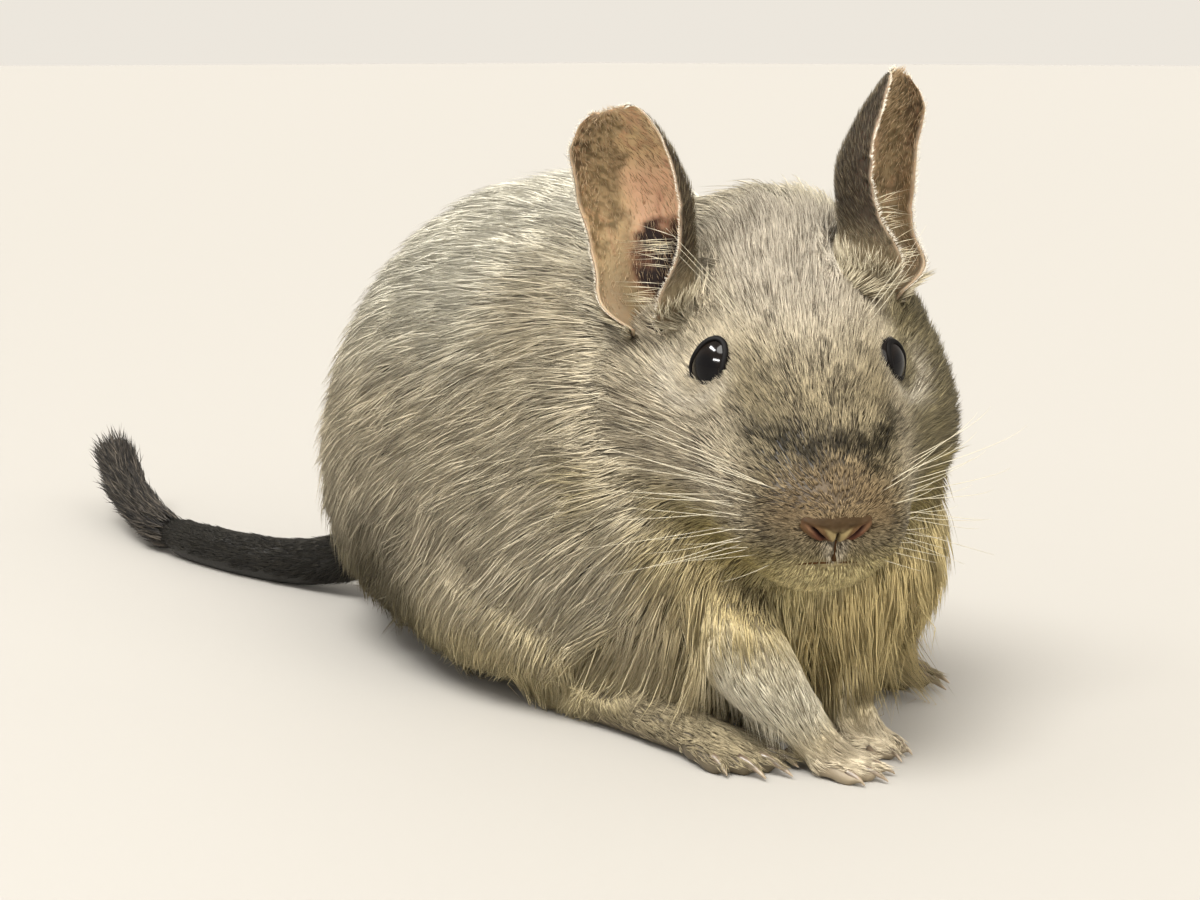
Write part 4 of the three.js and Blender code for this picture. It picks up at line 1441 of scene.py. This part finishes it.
@dataclass
class Ear:
    """One ear: a thin cupped blade on a tube, with its canal, rim, mottled lining and hairs."""

    side: Side
    root: tuple[float, float, float]
    lean: float
    tilt: float
    turn: float
    # shade darkens the whole lining: painted shade for an ear turned from the light.
    shade: float = 1.0
    length: float = 26.0
    wall: float = 0.85
    floor: float = -0.6
    rows: tuple = (
        (0, 4.3, 150, 0),
        (0.15, 5.9, 123, 0.3),
        (0.3, 7.0, 92, 1.9),
        (0.5, 8.5, 77, 3.4),
        (0.7, 9.9, 57, 2.6),
        (0.8, 10.4, 49, 1.8),
        (0.88, 11.2, 40, 1.0),
        (0.95, 12.0, 28, 0.5),
        (1, 12.6, 12, 0.2),
    )

    def placed(self, points: Array) -> Array:
        """Points of the ear's own frame in the world's, mirrored for the right ear."""
        turned = turn_about(1, self.lean) @ turn_about(0, self.tilt) @ turn_about(2, self.turn)
        local = points @ turned.T + np.array(self.root)
        return HEAD.world(local * self.side.mirror)

    def thickness(self, share: Array, v: Array) -> Array:
        """The wall's thickness, less towards the sides and the tip."""
        return self.wall * (1 - 0.62 * v**2) * (1 - 0.45 * share)

    def surface(self, share: Array, v: Array, outward_by: Array) -> Array:
        """Places on the blade.

        At each share of the length the section is an arc of the table's radius and half
        angle, v running over it from -1 to 1, moved out by outward_by, with low ridges
        along the blade and a slightly wavy rim.

        Args:
            share: Share of the length.
            v: Place across.
            outward_by: How far out from the middle of the wall.

        Returns:
            Places in the ear's own frame.
        """
        radius, degrees, back = np.moveaxis(smooth_table(self.rows)(np.maximum(share, 0)), -1, 0)
        angle = np.radians(degrees) * v * (1 + 3 * np.minimum(share, 0))
        edge = smooth_step(0.72, 1.0, np.abs(v))
        flat = np.stack([share * 9.0, v * 4.0, np.full_like(share, 3.0 * self.side.value)], -1)
        wave = lattice_noise(flat.reshape(-1, 3), 1.1, 21).reshape(share.shape)
        folds = 0.16 * np.sin(v * 9 + 2 * share) * np.sin(np.pi * np.clip(share, 0, 1)) ** 2
        r = radius + outward_by + folds + 0.45 * edge * wave * smooth_step(0.1, 0.4, share) - 0.25 * edge**2
        nick = 0.5 * edge * lattice_noise((flat * [2.4, 1, 1]).reshape(-1, 3), 1.0, 33).reshape(share.shape)
        tall = share * self.length + nick * smooth_step(0.2, 0.5, share)
        return np.stack([r * np.sin(angle), r * np.cos(angle) - radius + back, tall], -1)

    def blade(self) -> Shape:
        """The blade as a closed wall, its lining first and its back second."""
        share = 1.09 * (1 - (1 - np.linspace(0, 1, 90)) ** 1.25) - 0.09
        v = np.sin(np.linspace(-np.pi / 2, np.pi / 2, 64))
        s, t = np.meshgrid(share, v, indexing="ij")
        wall = self.thickness(s, t) + 0.12 * smooth_step(0.9, 1.0, np.abs(t))
        rows, columns = s.shape
        inner, outer = self.surface(s, t, -wall / 2), self.surface(s, t, wall / 2)
        points = np.concatenate([inner.reshape(-1, 3), outer.reshape(-1, 3)])
        i, j = np.meshgrid(np.arange(rows - 1), np.arange(columns - 1), indexing="ij")
        a = i * columns + j
        near = [np.stack([a, a + 1, a + columns + 1], -1), np.stack([a, a + columns + 1, a + columns], -1)]
        size = rows * columns
        far = [q[..., ::-1] + size for q in near]
        rim = [np.arange(columns - 1), (rows - 1) * columns + np.arange(columns - 1)]
        edge = [np.arange(rows - 1) * columns, np.arange(rows - 1) * columns + columns - 1]
        borders = [
            (rim[0], 1, True),
            (rim[1], 1, False),
            (edge[0], columns, False),
            (edge[1], columns, True),
        ]
        strips = []
        for start, step, flip in borders:
            quads = [
                np.stack([start, start + step, start + step + size], -1),
                np.stack([start, start + step + size, start + size], -1),
            ]
            strips += [q[:, ::-1] if flip else q for q in quads]
        triangles = np.concatenate([q.reshape(-1, 3) for q in near + far + strips])
        tints = np.concatenate([self.lining(s, t, points[:size]), self.backing(s, t)])
        return outward(Shape(points, triangles, tints))

    def lining(self, s: Array, t: Array, points: Array) -> Array:
        """The lining's colours: pink-tan, dark mottles near the tip and rear, a pale rim, and painted shade
        in the canal, towards the base and over the whole of a shaded ear.
        """
        s, t = s.ravel(), t.ravel()
        clean = smooth_step(0.55, 0.25, t) * smooth_step(0.3, 0.42, s) * smooth_step(0.8, 0.6, s)
        grain = lattice_noise(points, 2.4, 41) + 0.8 * lattice_noise(points, 0.9, 42)
        fine = lattice_noise(points, 0.38, 43)
        drive = 0.12 + 0.45 * grain + 1.1 * (s - 0.6) + 1.1 * (t - 0.35) * smooth_step(0.3, 0.6, s)
        drive = drive - 0.9 * clean
        mottle = smooth_step(-0.35, 0.45, drive) * (0.6 + 0.4 * smooth_step(-0.3, 0.3, fine))
        corner = smooth_step(1.08, 1.4, s + 0.6 * t) * (0.7 + 0.3 * fine)
        vein = smooth_step(0.12, 0.02, np.abs(lattice_noise(points * [1, 1, 0.4], 2.4, 47)))
        vein = vein * smooth_step(0.25, 0.4, s) * (1 - mottle)
        edge = 0.46 + 0.6 * (s - 0.35)
        canal = smooth_step(0.45, 0.33, s + 0.06 * grain)
        canal = canal * smooth_step(edge + 0.2, edge - 0.2, t + 0.12 * grain)
        lobe = smooth_step(0.34, 0.1, s) * smooth_step(0.5, 0.7, t)
        # Painted shade: the lining darker towards the ear's base.
        made = between((196, 170, 130), (126, 110, 82), smooth_step(0.55, 0.2, s))
        for share, colour in (
            (0.7 * clean, (222, 180, 152)),
            (0.86 * mottle, (80, 65, 40)),
            (0.8 * np.clip(corner, 0, 1), (32, 26, 20)),
            (0.35 * vein, (156, 92, 78)),
            # Painted shade: the canal's opening, dark brown round a near-black middle.
            (0.8 * np.clip(canal * 1.6, 0, 1), (110, 66, 46)),
            (0.97 * smooth_step(0.3, 0.95, canal), (22, 12, 10)),
            (0.6 * lobe, (150, 130, 106)),
        ):
            made = mixed(made, share, colour)
        rim = smooth_step(0.93, 1.0, np.abs(t)) + smooth_step(0.975, 1.0, s)
        # The whole lining darkened by the ear's shade factor: painted shade.
        return mixed(made * self.shade, np.clip(rim * 0.7, 0, 1), (178, 160, 136))

    def backing(self, s: Array, t: Array) -> Array:
        """The back's colours: grey-brown, darker towards the tip, with a pale rim."""
        s, t = s.ravel(), t.ravel()
        made = between((54, 45, 34), (138, 124, 98), smooth_step(0.3, 0.0, s))
        rim = smooth_step(0.95, 1.0, np.abs(t)) + smooth_step(0.985, 1.0, s)
        return mixed(made, np.clip(rim * 0.6, 0, 1), (176, 158, 136))

    def hairs(self, count: int, layer: str, random: np.random.Generator) -> Shape:
        """Hairs on one face of the blade or along its margins.

        Args:
            count: How many.
            layer: back, lining, rim, fringe or ruff.
            random: The seeded draws.

        Returns:
            The hairs as one shape.
        """
        s = random.random(count)
        t = random.random(count) * 2 - 1
        sign = 1.0
        length = 1.5 + 0.7 * random.random(count)
        if layer == "lining":
            s, sign, length = s**0.8 * 0.95 + 0.05, -1.0, 0.9 + 0.6 * random.random(count)
        if layer == "ruff":
            s = 0.16 * random.random(count) - 0.09
            length = 2.2 + 1.8 * random.random(count)
        if layer == "rim":
            top = random.random(count) < 0.3
            s = np.where(top, 0.985 + 0.012 * random.random(count), s)
            t = np.where(top, t, np.sign(t) * (0.985 + 0.015 * random.random(count)))
            length = (0.4 + 0.4 * random.random(count)) * (1 - 0.15 * smooth_step(0.75, 0.95, s))
        if layer == "back":
            length = length * (1 - 0.75 * smooth_step(0.82, 0.97, s))
        if layer == "fringe":
            s = 0.09 + 0.3 * random.random(count)
            t = -0.93 - 0.07 * random.random(count)
            length = (4.6 + 15 * s) * (0.7 + 0.4 * random.random(count))
        offset = sign * (self.thickness(s, t) / 2 - 0.05)
        base = self.surface(s, t, offset)
        up = unit(self.surface(s + 0.01, t, offset) - base)
        over = unit(self.surface(s, t + 0.004, offset) - base)
        out = unit(np.cross(over, up)) * sign
        out = np.where((np.einsum("ij,ij->i", out, base * [1, 1, 0]) * sign > 0)[:, None], out, -out)
        lean = random.normal(size=(count, 2)) * (0.12 if layer == "fringe" else 0.22)
        if layer == "fringe":
            ahead = unit(np.array([1.0, -0.16, 0.3]) + up * lean[:, :1] + out * 0.3 * lean[:, 1:])
            bend = unit(ahead + [0, 0.08, -0.12])
        else:
            ahead = unit(up * 0.9 + over * lean[:, :1] + out * 0.28)
            if layer == "rim":
                ahead = unit(up * 0.55 + over * np.sign(t)[:, None] * 0.8 + over * lean[:, :1])
            bend = ahead
        steps = np.array([0, 0.4, 1])[None, :, None]
        sweep = steps * ahead[:, None] * (1 - 0.5 * steps) + 0.5 * steps**2 * bend[:, None]
        path = base[:, None] + length[:, None, None] * sweep
        placed = self.placed(path.reshape(-1, 3)).reshape(path.shape)
        width = np.full((count, 1), {"fringe": 0.05, "ruff": 0.085}.get(layer, 0.036))
        above = unit(np.cross(placed[:, 2] - placed[:, 0], HEAD.world_direction(np.array([[0.3, 0.9, 0.2]]))))
        side = np.cross(unit(placed[:, 2] - placed[:, 0]), above)
        points, faces = spikes(placed, side, above, width)
        pairs = {
            "back": ((36, 31, 23), (112, 99, 76)),
            "lining": ((150, 124, 90), (208, 184, 150)),
            "rim": ((206, 196, 176), (246, 240, 228)),
            "fringe": ((206, 192, 160), (238, 230, 206)),
            "ruff": ((120, 108, 84), (214, 204, 178)),
        }
        dark, pale = pairs[layer]
        hair = between(dark, pale, random.random(count))
        if layer == "back":
            hair = mixed(hair, smooth_step(0.3, 0.0, s), (150, 136, 108))
        tints = np.repeat(hair[:, None], points.shape[1], axis=1)
        tints[:, 0] *= 0.7
        return hair_shape(points, faces, tints, BAKE_START + 0.99 * np.stack([s, (t + 1) / 2], -1))

    def canal(self) -> Shape:
        """The floor of the cup, painted dark as shade: a shallow bowl that closes the tube a little above its
        root.
        """
        angle = np.linspace(0, 2 * np.pi, 40, endpoint=False)
        radii = np.linspace(0.15, 1.0, 10)
        rim, depth = 2.9, 0.5
        rings = np.stack(
            [
                rim * radii[:, None] * np.sin(angle),
                rim * radii[:, None] * np.cos(angle) - 3.4,
                np.repeat((self.floor + depth * radii**2)[:, None], 40, axis=1),
            ],
            -1,
        )
        lower = rings[::-1] - [0, 0, 1.2]
        middle = np.array([0, -3.4, self.floor])
        shape = rings_surface(np.concatenate([rings, lower]), middle, middle - [0, 0, 1.2])
        # Painted shade: the bowl is coloured dark brown.
        return coloured(shape, (40, 25, 20))

    def build(self, seed: int) -> None:
        """Makes the blade with its canal, and its hairs."""
        name = self.side.name.lower()
        whole = joined([self.blade(), self.canal()])
        whole.points = self.placed(whole.points)
        if self.side is Side.RIGHT:
            whole.triangles = whole.triangles[:, ::-1]
        finish = HideFinish(
            "ear_skin",
            roughness=0.65,
            gloss=0.08,
            mottle=0.1,
            grain=2600.0,
            relief=0.00006,
            soft=0.25,
        )
        made = put_mesh(f"ear_{name}_looks", whole, finish.material())
        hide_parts(f"ear_{name}")
        random = np.random.default_rng(seed)
        counts = {"back": 4200, "lining": 1900, "rim": 1700, "fringe": 34, "ruff": 1500}
        hairs = joined([self.hairs(count, layer, random) for layer, count in counts.items()])
        if self.side is Side.RIGHT:
            hairs = outward(hairs)
        put_mesh(f"ear_hairs_{name}", hairs, HairFinish("ear_hair").material())


# Nose and mouth


@dataclass
class Nose:
    """The bare nose: a pad with two slanting nostrils and the groove below it."""

    middle: tuple[float, float, float] = (0.0, -24.05, -9.7)
    halves: tuple[float, float, float] = (4.2, 1.9, 2.0)

    def pad(self) -> Shape:
        """An ellipsoid of the pad's half sizes, raised and sunk along its normals.

        Each wing is a bell along a line that slants down towards the middle, its nostril a sunk
        slit on the inner side; the septum between them is raised, with a narrow groove down it.

        Returns:
            The closed pad in the head's frame, with its colours.
        """
        polar = np.linspace(0.03, np.pi - 0.03, 120)
        turn = np.linspace(0, 2 * np.pi, 150, endpoint=False)
        front = np.array([0.0, -1.0, 0.0])
        ring = np.cos(turn)[:, None] * [1.0, 0, 0] + np.sin(turn)[:, None] * [0, 0, 1.0]
        directions = np.cos(polar)[:, None, None] * front + np.sin(polar)[:, None, None] * ring
        rings = directions * self.halves
        shape = rings_surface(rings, front * self.halves, -front * self.halves)
        p = shape.points
        x, y, z = np.abs(p[:, 0]), p[:, 1], p[:, 2] * 2.2 / self.halves[2]
        facing = smooth_step(0.2, -0.6, y)
        along = np.clip((z + 1.5) / 2.5, 0, 1)
        line = 1.5 + 2.2 * along
        gap = x - line
        wing = np.exp(-((gap / 0.85) ** 2)) * smooth_step(-2.1, -1.3, z) * smooth_step(1.7, 1.0, z)
        slit = np.exp(-(((gap + 0.28) / 0.3) ** 2)) * smooth_step(-1.9, -1.3, z) * smooth_step(0.9, 0.1, z)
        groove = np.exp(-((x / 0.2) ** 2)) * smooth_step(0.3, -0.3, z)
        dip = 0.8 * np.exp(-((x / 1.1) ** 2))
        brow = smooth_step(0.45 - dip, 0.95 - dip, z) * smooth_step(4.5, 3.6, x)
        septum = smooth_step(0.3, -0.3, x - 0.55 - 0.5 * np.maximum(z + 1.6, 0)) * smooth_step(0.8, 0.0, z)
        grain = lattice_noise(p, 0.4, 61)
        lift = 0.32 * wing + 0.18 * brow - 0.75 * slit + 0.2 * septum - 0.55 * groove + 0.05 * grain
        normals = unit(p / np.square(self.halves))
        shape.points = p + normals * (lift * facing)[:, None]
        base = np.tile(linear((84, 64, 40)), (len(p), 1)) * (1 + 0.25 * grain[:, None])
        for share, colour in (
            (septum * 0.9, (146, 130, 92)),
            (wing, (104, 76, 54)),
            (smooth_step(1.4, 0.4, np.hypot(gap, z + 1.1)) * wing * 0.8, (86, 50, 36)),
            (brow * (0.85 + 0.15 * grain), (50, 37, 20)),
            # Painted shade: the nostril slits near black where they face out.
            (np.clip(slit * 1.4, 0, 1) * facing, (34, 15, 12)),
            (np.clip(groove * 1.2, 0, 1), (44, 32, 17)),
        ):
            base = mixed(base, np.clip(share, 0, 1), colour)
        shape.tints = base
        shape.points = shape.points @ turn_about(0, 7).T + self.middle
        return shape

    def build(self) -> None:
        """Makes the nose."""
        shape = self.pad()
        shape.points = HEAD.world(shape.points)
        finish = HideFinish(
            "nose_leather",
            roughness=0.65,
            gloss=0.1,
            mottle=0.12,
            grain=3500.0,
            relief=0.00006,
        )
        made = put_mesh("nose_looks", shape, finish.material())
        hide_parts("nose")


@dataclass
class Mouth:
    """The line of the mouth between two soft lips, and the groove from the nose down to it."""

    skin: Skin

    def on_skin(self, local: Array, sink: float) -> Array:
        """Places of the head's frame moved onto the skin, sunk by a distance."""
        world = HEAD.world(local)
        points, normals = self.skin.points, self.skin.normals
        near = np.where(np.linalg.norm(points - HEAD.world(np.array([[0, -22, -14.0]])), axis=1) < 14)[0]
        gaps = np.linalg.norm(world[:, None] - points[near][None], axis=2)
        weight = 1 / (gaps**4 + 0.02)
        weight /= weight.sum(axis=1, keepdims=True)
        at, up = weight @ points[near], unit(weight @ normals[near])
        return at - sink * up

    def path(self, lower: float) -> Array:
        """The mouth's line: a shallow arc across the front of the muzzle, lower by so much."""
        s = np.linspace(-1, 1, 33)
        x = 4.4 * s
        y = -22.9 + 2.6 * s**2
        z = MOUTH_HEIGHT - lower - 0.9 * s**2
        return np.stack([x, y, z], -1)

    def build(self) -> None:
        """Makes the lips, the seam and the groove as one piece."""
        taper = np.sqrt(np.clip(1 - np.linspace(-1, 1, 33) ** 2, 0.02, 1))
        parts = []
        for lower, sink, radius, colour in (
            (-0.42, 0.3, 0.5, (150, 130, 92)),
            (0.5, 0.3, 0.5, (176, 158, 108)),
            (0.02, -0.68, 0.16, (74, 52, 30)),
        ):
            parts.append(coloured(tube(self.on_skin(self.path(lower), sink), radius * taper, 10), colour))
        z = np.linspace(GROOVE_TOP, MOUTH_HEIGHT, 12)
        fall = np.stack([0 * z, -24.6 + 0.098 * (z - GROOVE_TOP) ** 2, z], -1)
        radii = 0.11 + 0.2 * smooth_step(MOUTH_HEIGHT + 0.8, MOUTH_HEIGHT + 0.1, z)
        parts.append(coloured(tube(self.on_skin(fall, -0.35), radii, 8), (58, 40, 22)))
        finish = HideFinish("lip_skin", roughness=0.7, gloss=0.05, mottle=0.1, grain=2500.0, relief=0.00005)
        put_mesh("mouth_looks", joined(parts), finish.material())


@dataclass
class Whiskers:
    """Long, thin, pale whiskers in rows on both pads, and a few over the eyes."""

    rows: int = 5
    in_row: int = 6

    def build(self) -> None:
        """Makes every whisker as a fine tapering tube that sweeps out, back and a little down."""
        random = np.random.default_rng(31)
        made = []
        for side in Side:
            for row in range(self.rows):
                for place in range(self.in_row):
                    back = place / (self.in_row - 1)
                    start = np.array([4.8 + 4.0 * back, -22.6 + 7.0 * back, -7.2 - 1.9 * row + 0.7 * back])
                    start += random.normal(size=3) * [0.25, 0.3, 0.25]
                    length = (13 + 15 * back) * (0.8 + 0.3 * random.random())
                    sweep = 0.12 + 0.3 * random.random()
                    rise = 0.34 - 0.2 * row + 0.1 * random.normal()
                    out = unit(np.array([1.0, sweep, rise]))
                    bend = unit(np.array([0.35, 1.0, -0.22 - 0.08 * row]))
                    made.append(self.one(side, start, out, bend, length, 0.04))
            out, bend = unit(np.array([0.7, 0.1, 0.9])), unit(np.array([0.6, 0.9, 0.4]))
            for apart in (0.3, 0.9, 1.4):
                start = EYE_PLACE + np.array([-1.0 - apart, -2.4 + apart, 5.2])
                made.append(self.one(side, start, out, bend, 12 + 4 * apart, 0.032))
        put_mesh("whiskers", joined(made), HairFinish("whisker_hair", 0.4, 0.5).material())

    def one(self, side: Side, start: Array, out: Array, bend: Array, length: float, radius: float) -> Shape:
        """One whisker: it starts along out and turns towards bend as the square of its length."""
        s = np.linspace(0, 1, 9)
        path = start + length * (s - 0.45 * s**2)[:, None] * out + length * (0.45 * s**2)[:, None] * bend
        shape = tube(HEAD.world(path * side.mirror), radius * (1 - 0.9 * s) + 0.01, 5)
        share = np.concatenate([np.repeat(s, 5), [0, 1]])
        shape.tints = between((110, 96, 76), (200, 192, 168), smooth_step(0, 0.3, share))
        return shape


# Feet


@dataclass
class Paw:
    """One foot's claws: where its toes start, which way it points and each toe's size."""

    name: str
    end: tuple[float, float]
    heading: float
    side: int
    radius: float
    toes: tuple

    def claws(self) -> list[Shape]:
        """A curved, tapering claw on each toe, laid along the toe's own direction."""
        made = []
        turn = math.radians(self.heading)
        across = np.array([math.cos(turn), math.sin(turn), 0])
        ahead = np.array([math.sin(turn), -math.cos(turn), 0])
        for offset, angle, length in self.toes:
            offset, angle = offset * self.side, angle * self.side
            start = np.array([*self.end, 0]) + across * offset + ahead * (0.6 - 0.12 * offset**2)
            toward = turn + math.radians(angle)
            run = np.array([math.sin(toward), -math.cos(toward), 0])
            s = np.linspace(0, 1, 9)
            reach = length * (0.84 + 0.82 * s)
            rise = self.radius * (1.12 + 0.25 * s - 1.05 * s**2)
            path = start + run * reach[:, None] + np.stack([0 * s, 0 * s, rise], -1)
            radii = self.radius * (0.42 * (1 - s) ** 0.75 + 0.05)
            claw = tube(path, radii, 8, 1.15)
            share = np.concatenate([np.repeat(s, 8), [0, 1]])
            claw.tints = between((84, 70, 58), (150, 134, 112), share)
            made.append(claw)
        return made


FORE_TOES = ((-2.5, -20, 2.9), (-0.9, -6, 3.8), (0.9, 6, 3.9), (2.5, 18, 3.2))
HIND_TOES = ((-3.5, -16, 3.8), (-2.0, -6, 5.6), (0.1, 0, 6.3), (2.1, 6, 5.7), (3.6, 16, 4.0))


@dataclass
class Feet:
    """All the claws."""

    paws: list[Paw] = field(
        default_factory=lambda: [
            Paw("fore_right", (-15.5, -55.53), 20, -1, 1.15, FORE_TOES),
            Paw("fore_left", (-6.19, -52.22), -24, 1, 1.15, FORE_TOES),
            Paw("hind_right", (-21.0, -42.5), -1, -1, 1.45, HIND_TOES),
            Paw("hind_left", (21.0, -33.5), 1, 1, 1.45, HIND_TOES),
        ]
    )

    def build(self) -> None:
        """Makes the claws of all four feet as one piece."""
        claws = joined([claw for paw in self.paws for claw in paw.claws()])
        claws.points[:, 2] = np.maximum(claws.points[:, 2], 0.05)
        finish = HideFinish("claw_horn", roughness=0.35, gloss=0.5, mottle=0.1, grain=900.0, relief=0.00003)
        put_mesh("claws", claws, finish.material())


@dataclass
class TailBrush:
    """The brush at the tail's end: long dark bristles that lie back along it."""

    count: int = 4200
    start: float = 99.0

    def build(self) -> None:
        """Makes the bristles: each leaves the tail's surface along it, spreads and droops a little."""
        random = np.random.default_rng(17)
        curve = smooth_table(TAIL_ROWS)
        y = self.start + 32.5 * random.random(self.count) ** 0.85
        x, z, radius = curve(y).T
        run = curve(y + 0.5) - curve(y)
        ahead = unit(np.stack([run[:, 0], np.full(self.count, 0.5), run[:, 1]], -1))
        side = unit(np.cross([0.0, 0.0, 1.0], ahead))
        above = np.cross(ahead, side)
        angle = 2 * np.pi * random.random(self.count)
        out = side * np.cos(angle)[:, None] + above * np.sin(angle)[:, None]
        length = (6.0 + 5.5 * smooth_step(100, 128, y)) * (0.75 + 0.4 * random.random(self.count))
        flare = 0.2 + 0.14 * random.random(self.count)
        steps = np.array([0, 0.3, 0.66, 1.0])[None, :, None]
        base = np.stack([x, y, z], -1) + out * (radius * 0.7)[:, None]
        wander = unit(np.cross(ahead, out)) * (0.12 * random.normal(size=self.count))[:, None]
        reach = length[:, None, None]
        path = base[:, None] + reach * steps * unit(ahead + wander)[:, None]
        path = path + reach * (steps - 0.4 * steps**2) * flare[:, None, None] * out[:, None]
        path[:, :, 2] = np.maximum(path[:, :, 2], 0.25)
        widths = 0.13 * np.array([1.0, 0.75])[None] * (0.7 + 0.6 * random.random(self.count))[:, None]
        points, faces = spikes(path, np.cross(ahead, out), out, widths)
        tip = between((26, 24, 23), (96, 88, 78), random.random(self.count) ** 2)
        tints = np.repeat(tip[:, None], points.shape[1], axis=1)
        tints[:, 0] *= 0.6
        place = BAKE_START + 0.99 * np.stack([angle / (2 * np.pi), (y - self.start) / 33], -1)
        shape = hair_shape(points, faces, tints, place)
        put_mesh("tail_bristles", shape, HairFinish("tail_hair").material())


# The studio


@dataclass
class Studio:
    """A pale floor, soft lights and the camera at the photograph's angle."""

    camera_place: tuple[float, float, float] = (-217.0, -217.0, 85.0)
    target: tuple[float, float, float] = (0.0, 0.0, 30.3)
    lens: float = 67.08

    def floor(self) -> None:
        """A wide, flat floor just under the object."""
        mesh = bpy.data.meshes.new("studio_floor")
        reach = 12.0
        corners = [(-reach, -reach, 0), (reach, -reach, 0), (reach, reach, 0), (-reach, reach, 0)]
        mesh.from_pydata(corners, [], [(0, 1, 2, 3)])
        mesh.materials.append(FloorFinish().material())
        made = bpy.data.objects.new("studio_floor", mesh)
        bpy.context.scene.collection.objects.link(made)

    def light(self, name: str, place: Row, size: tuple[float, float], watts: float, colour: Row) -> None:
        """A rectangular area light that faces the object and shows only in glossy things, as in the eyes.

        Args:
            name: The lamp's name.
            place: Where it hangs, in millimetres.
            size: Its width and height in metres.
            watts: Its power.
            colour: Its colour of 0 to 255.
        """
        lamp = bpy.data.lights.new(name, "AREA")
        lamp.shape = "RECTANGLE"
        lamp.size, lamp.size_y = size
        lamp.energy = watts
        lamp.color = [float(c) for c in linear(colour)]
        made = bpy.data.objects.new(name, lamp)
        at = Vector(place) * METRES
        made.location = at
        made.rotation_euler = (Vector((0, -0.01, 0.035)) - at).to_track_quat("-Z", "Y").to_euler()
        made.visible_diffuse = False
        bpy.context.scene.collection.objects.link(made)

    def sun(self, name: str, place: Row, strength: float, width: float, colour: Row) -> None:
        """A broad, even light from one direction.

        Args:
            name: The lamp's name.
            place: Where it comes from.
            strength: Its strength.
            width: Its width across the sky in degrees, which softens its shadows.
            colour: Its colour of 0 to 255.
        """
        lamp = bpy.data.lights.new(name, "SUN")
        lamp.energy = strength
        lamp.angle = math.radians(width)
        lamp.color = [float(c) for c in linear(colour)]
        made = bpy.data.objects.new(name, lamp)
        made.rotation_euler = (-Vector(place)).to_track_quat("-Z", "Y").to_euler()
        bpy.context.scene.collection.objects.link(made)

    def camera(self) -> None:
        """The camera, aimed at its target."""
        data = bpy.data.cameras.new("photo_camera")
        data.lens = self.lens
        data.sensor_width = 36
        data.clip_start, data.clip_end = 0.01, 50
        made = bpy.data.objects.new("photo_camera", data)
        place, target = Vector(self.camera_place) * METRES, Vector(self.target) * METRES
        made.location = place
        made.rotation_euler = (target - place).to_track_quat("-Z", "Y").to_euler()
        bpy.context.scene.collection.objects.link(made)
        bpy.context.scene.camera = made

    def build(self) -> None:
        """Makes floor, lights, world and camera."""
        self.floor()
        self.sun("sky_light", (-260, -40, 520), 3.9, 30, (255, 253, 248))
        self.sun("front_light", (-90, -420, 260), 2.5, 50, (255, 251, 244))
        self.light("window_high", (-225, 147, 393), (0.2, 0.04), 3.4, (255, 253, 250))
        self.light("window_low", (-425, -58, 237), (0.18, 0.04), 2.6, (255, 253, 250))
        world = bpy.data.worlds.new("studio_world")
        world.use_nodes = True
        background = world.node_tree.nodes["Background"]
        background.inputs["Color"].default_value = rgba((242, 236, 226))
        background.inputs["Strength"].default_value = 0.95
        bpy.context.scene.world = world
        bpy.context.scene.view_settings.view_transform = "Standard"
        self.camera()


def main() -> None:
    """Builds the degu's looks piece by piece."""
    logging.basicConfig(level=logging.INFO, format="%(message)s")
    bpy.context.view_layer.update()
    skin = Skin(frame["nodes"])
    skin.build()
    Coat(skin).build()
    Eyes().build()
    Ear(Side.RIGHT, (12.4, 13.5, 2.2), 21, -12.5, 42).build(3)
    # The left ear's lining is darkened as painted shade.
    Ear(Side.LEFT, (6.8, 10.8, 7.2), 17.5, -17.5, 50, shade=0.55).build(4)
    Nose().build()
    Mouth(skin).build()
    Whiskers().build()
    Feet().build()
    TailBrush().build()
    Studio().build()


if __name__ == "__main__":
    main()
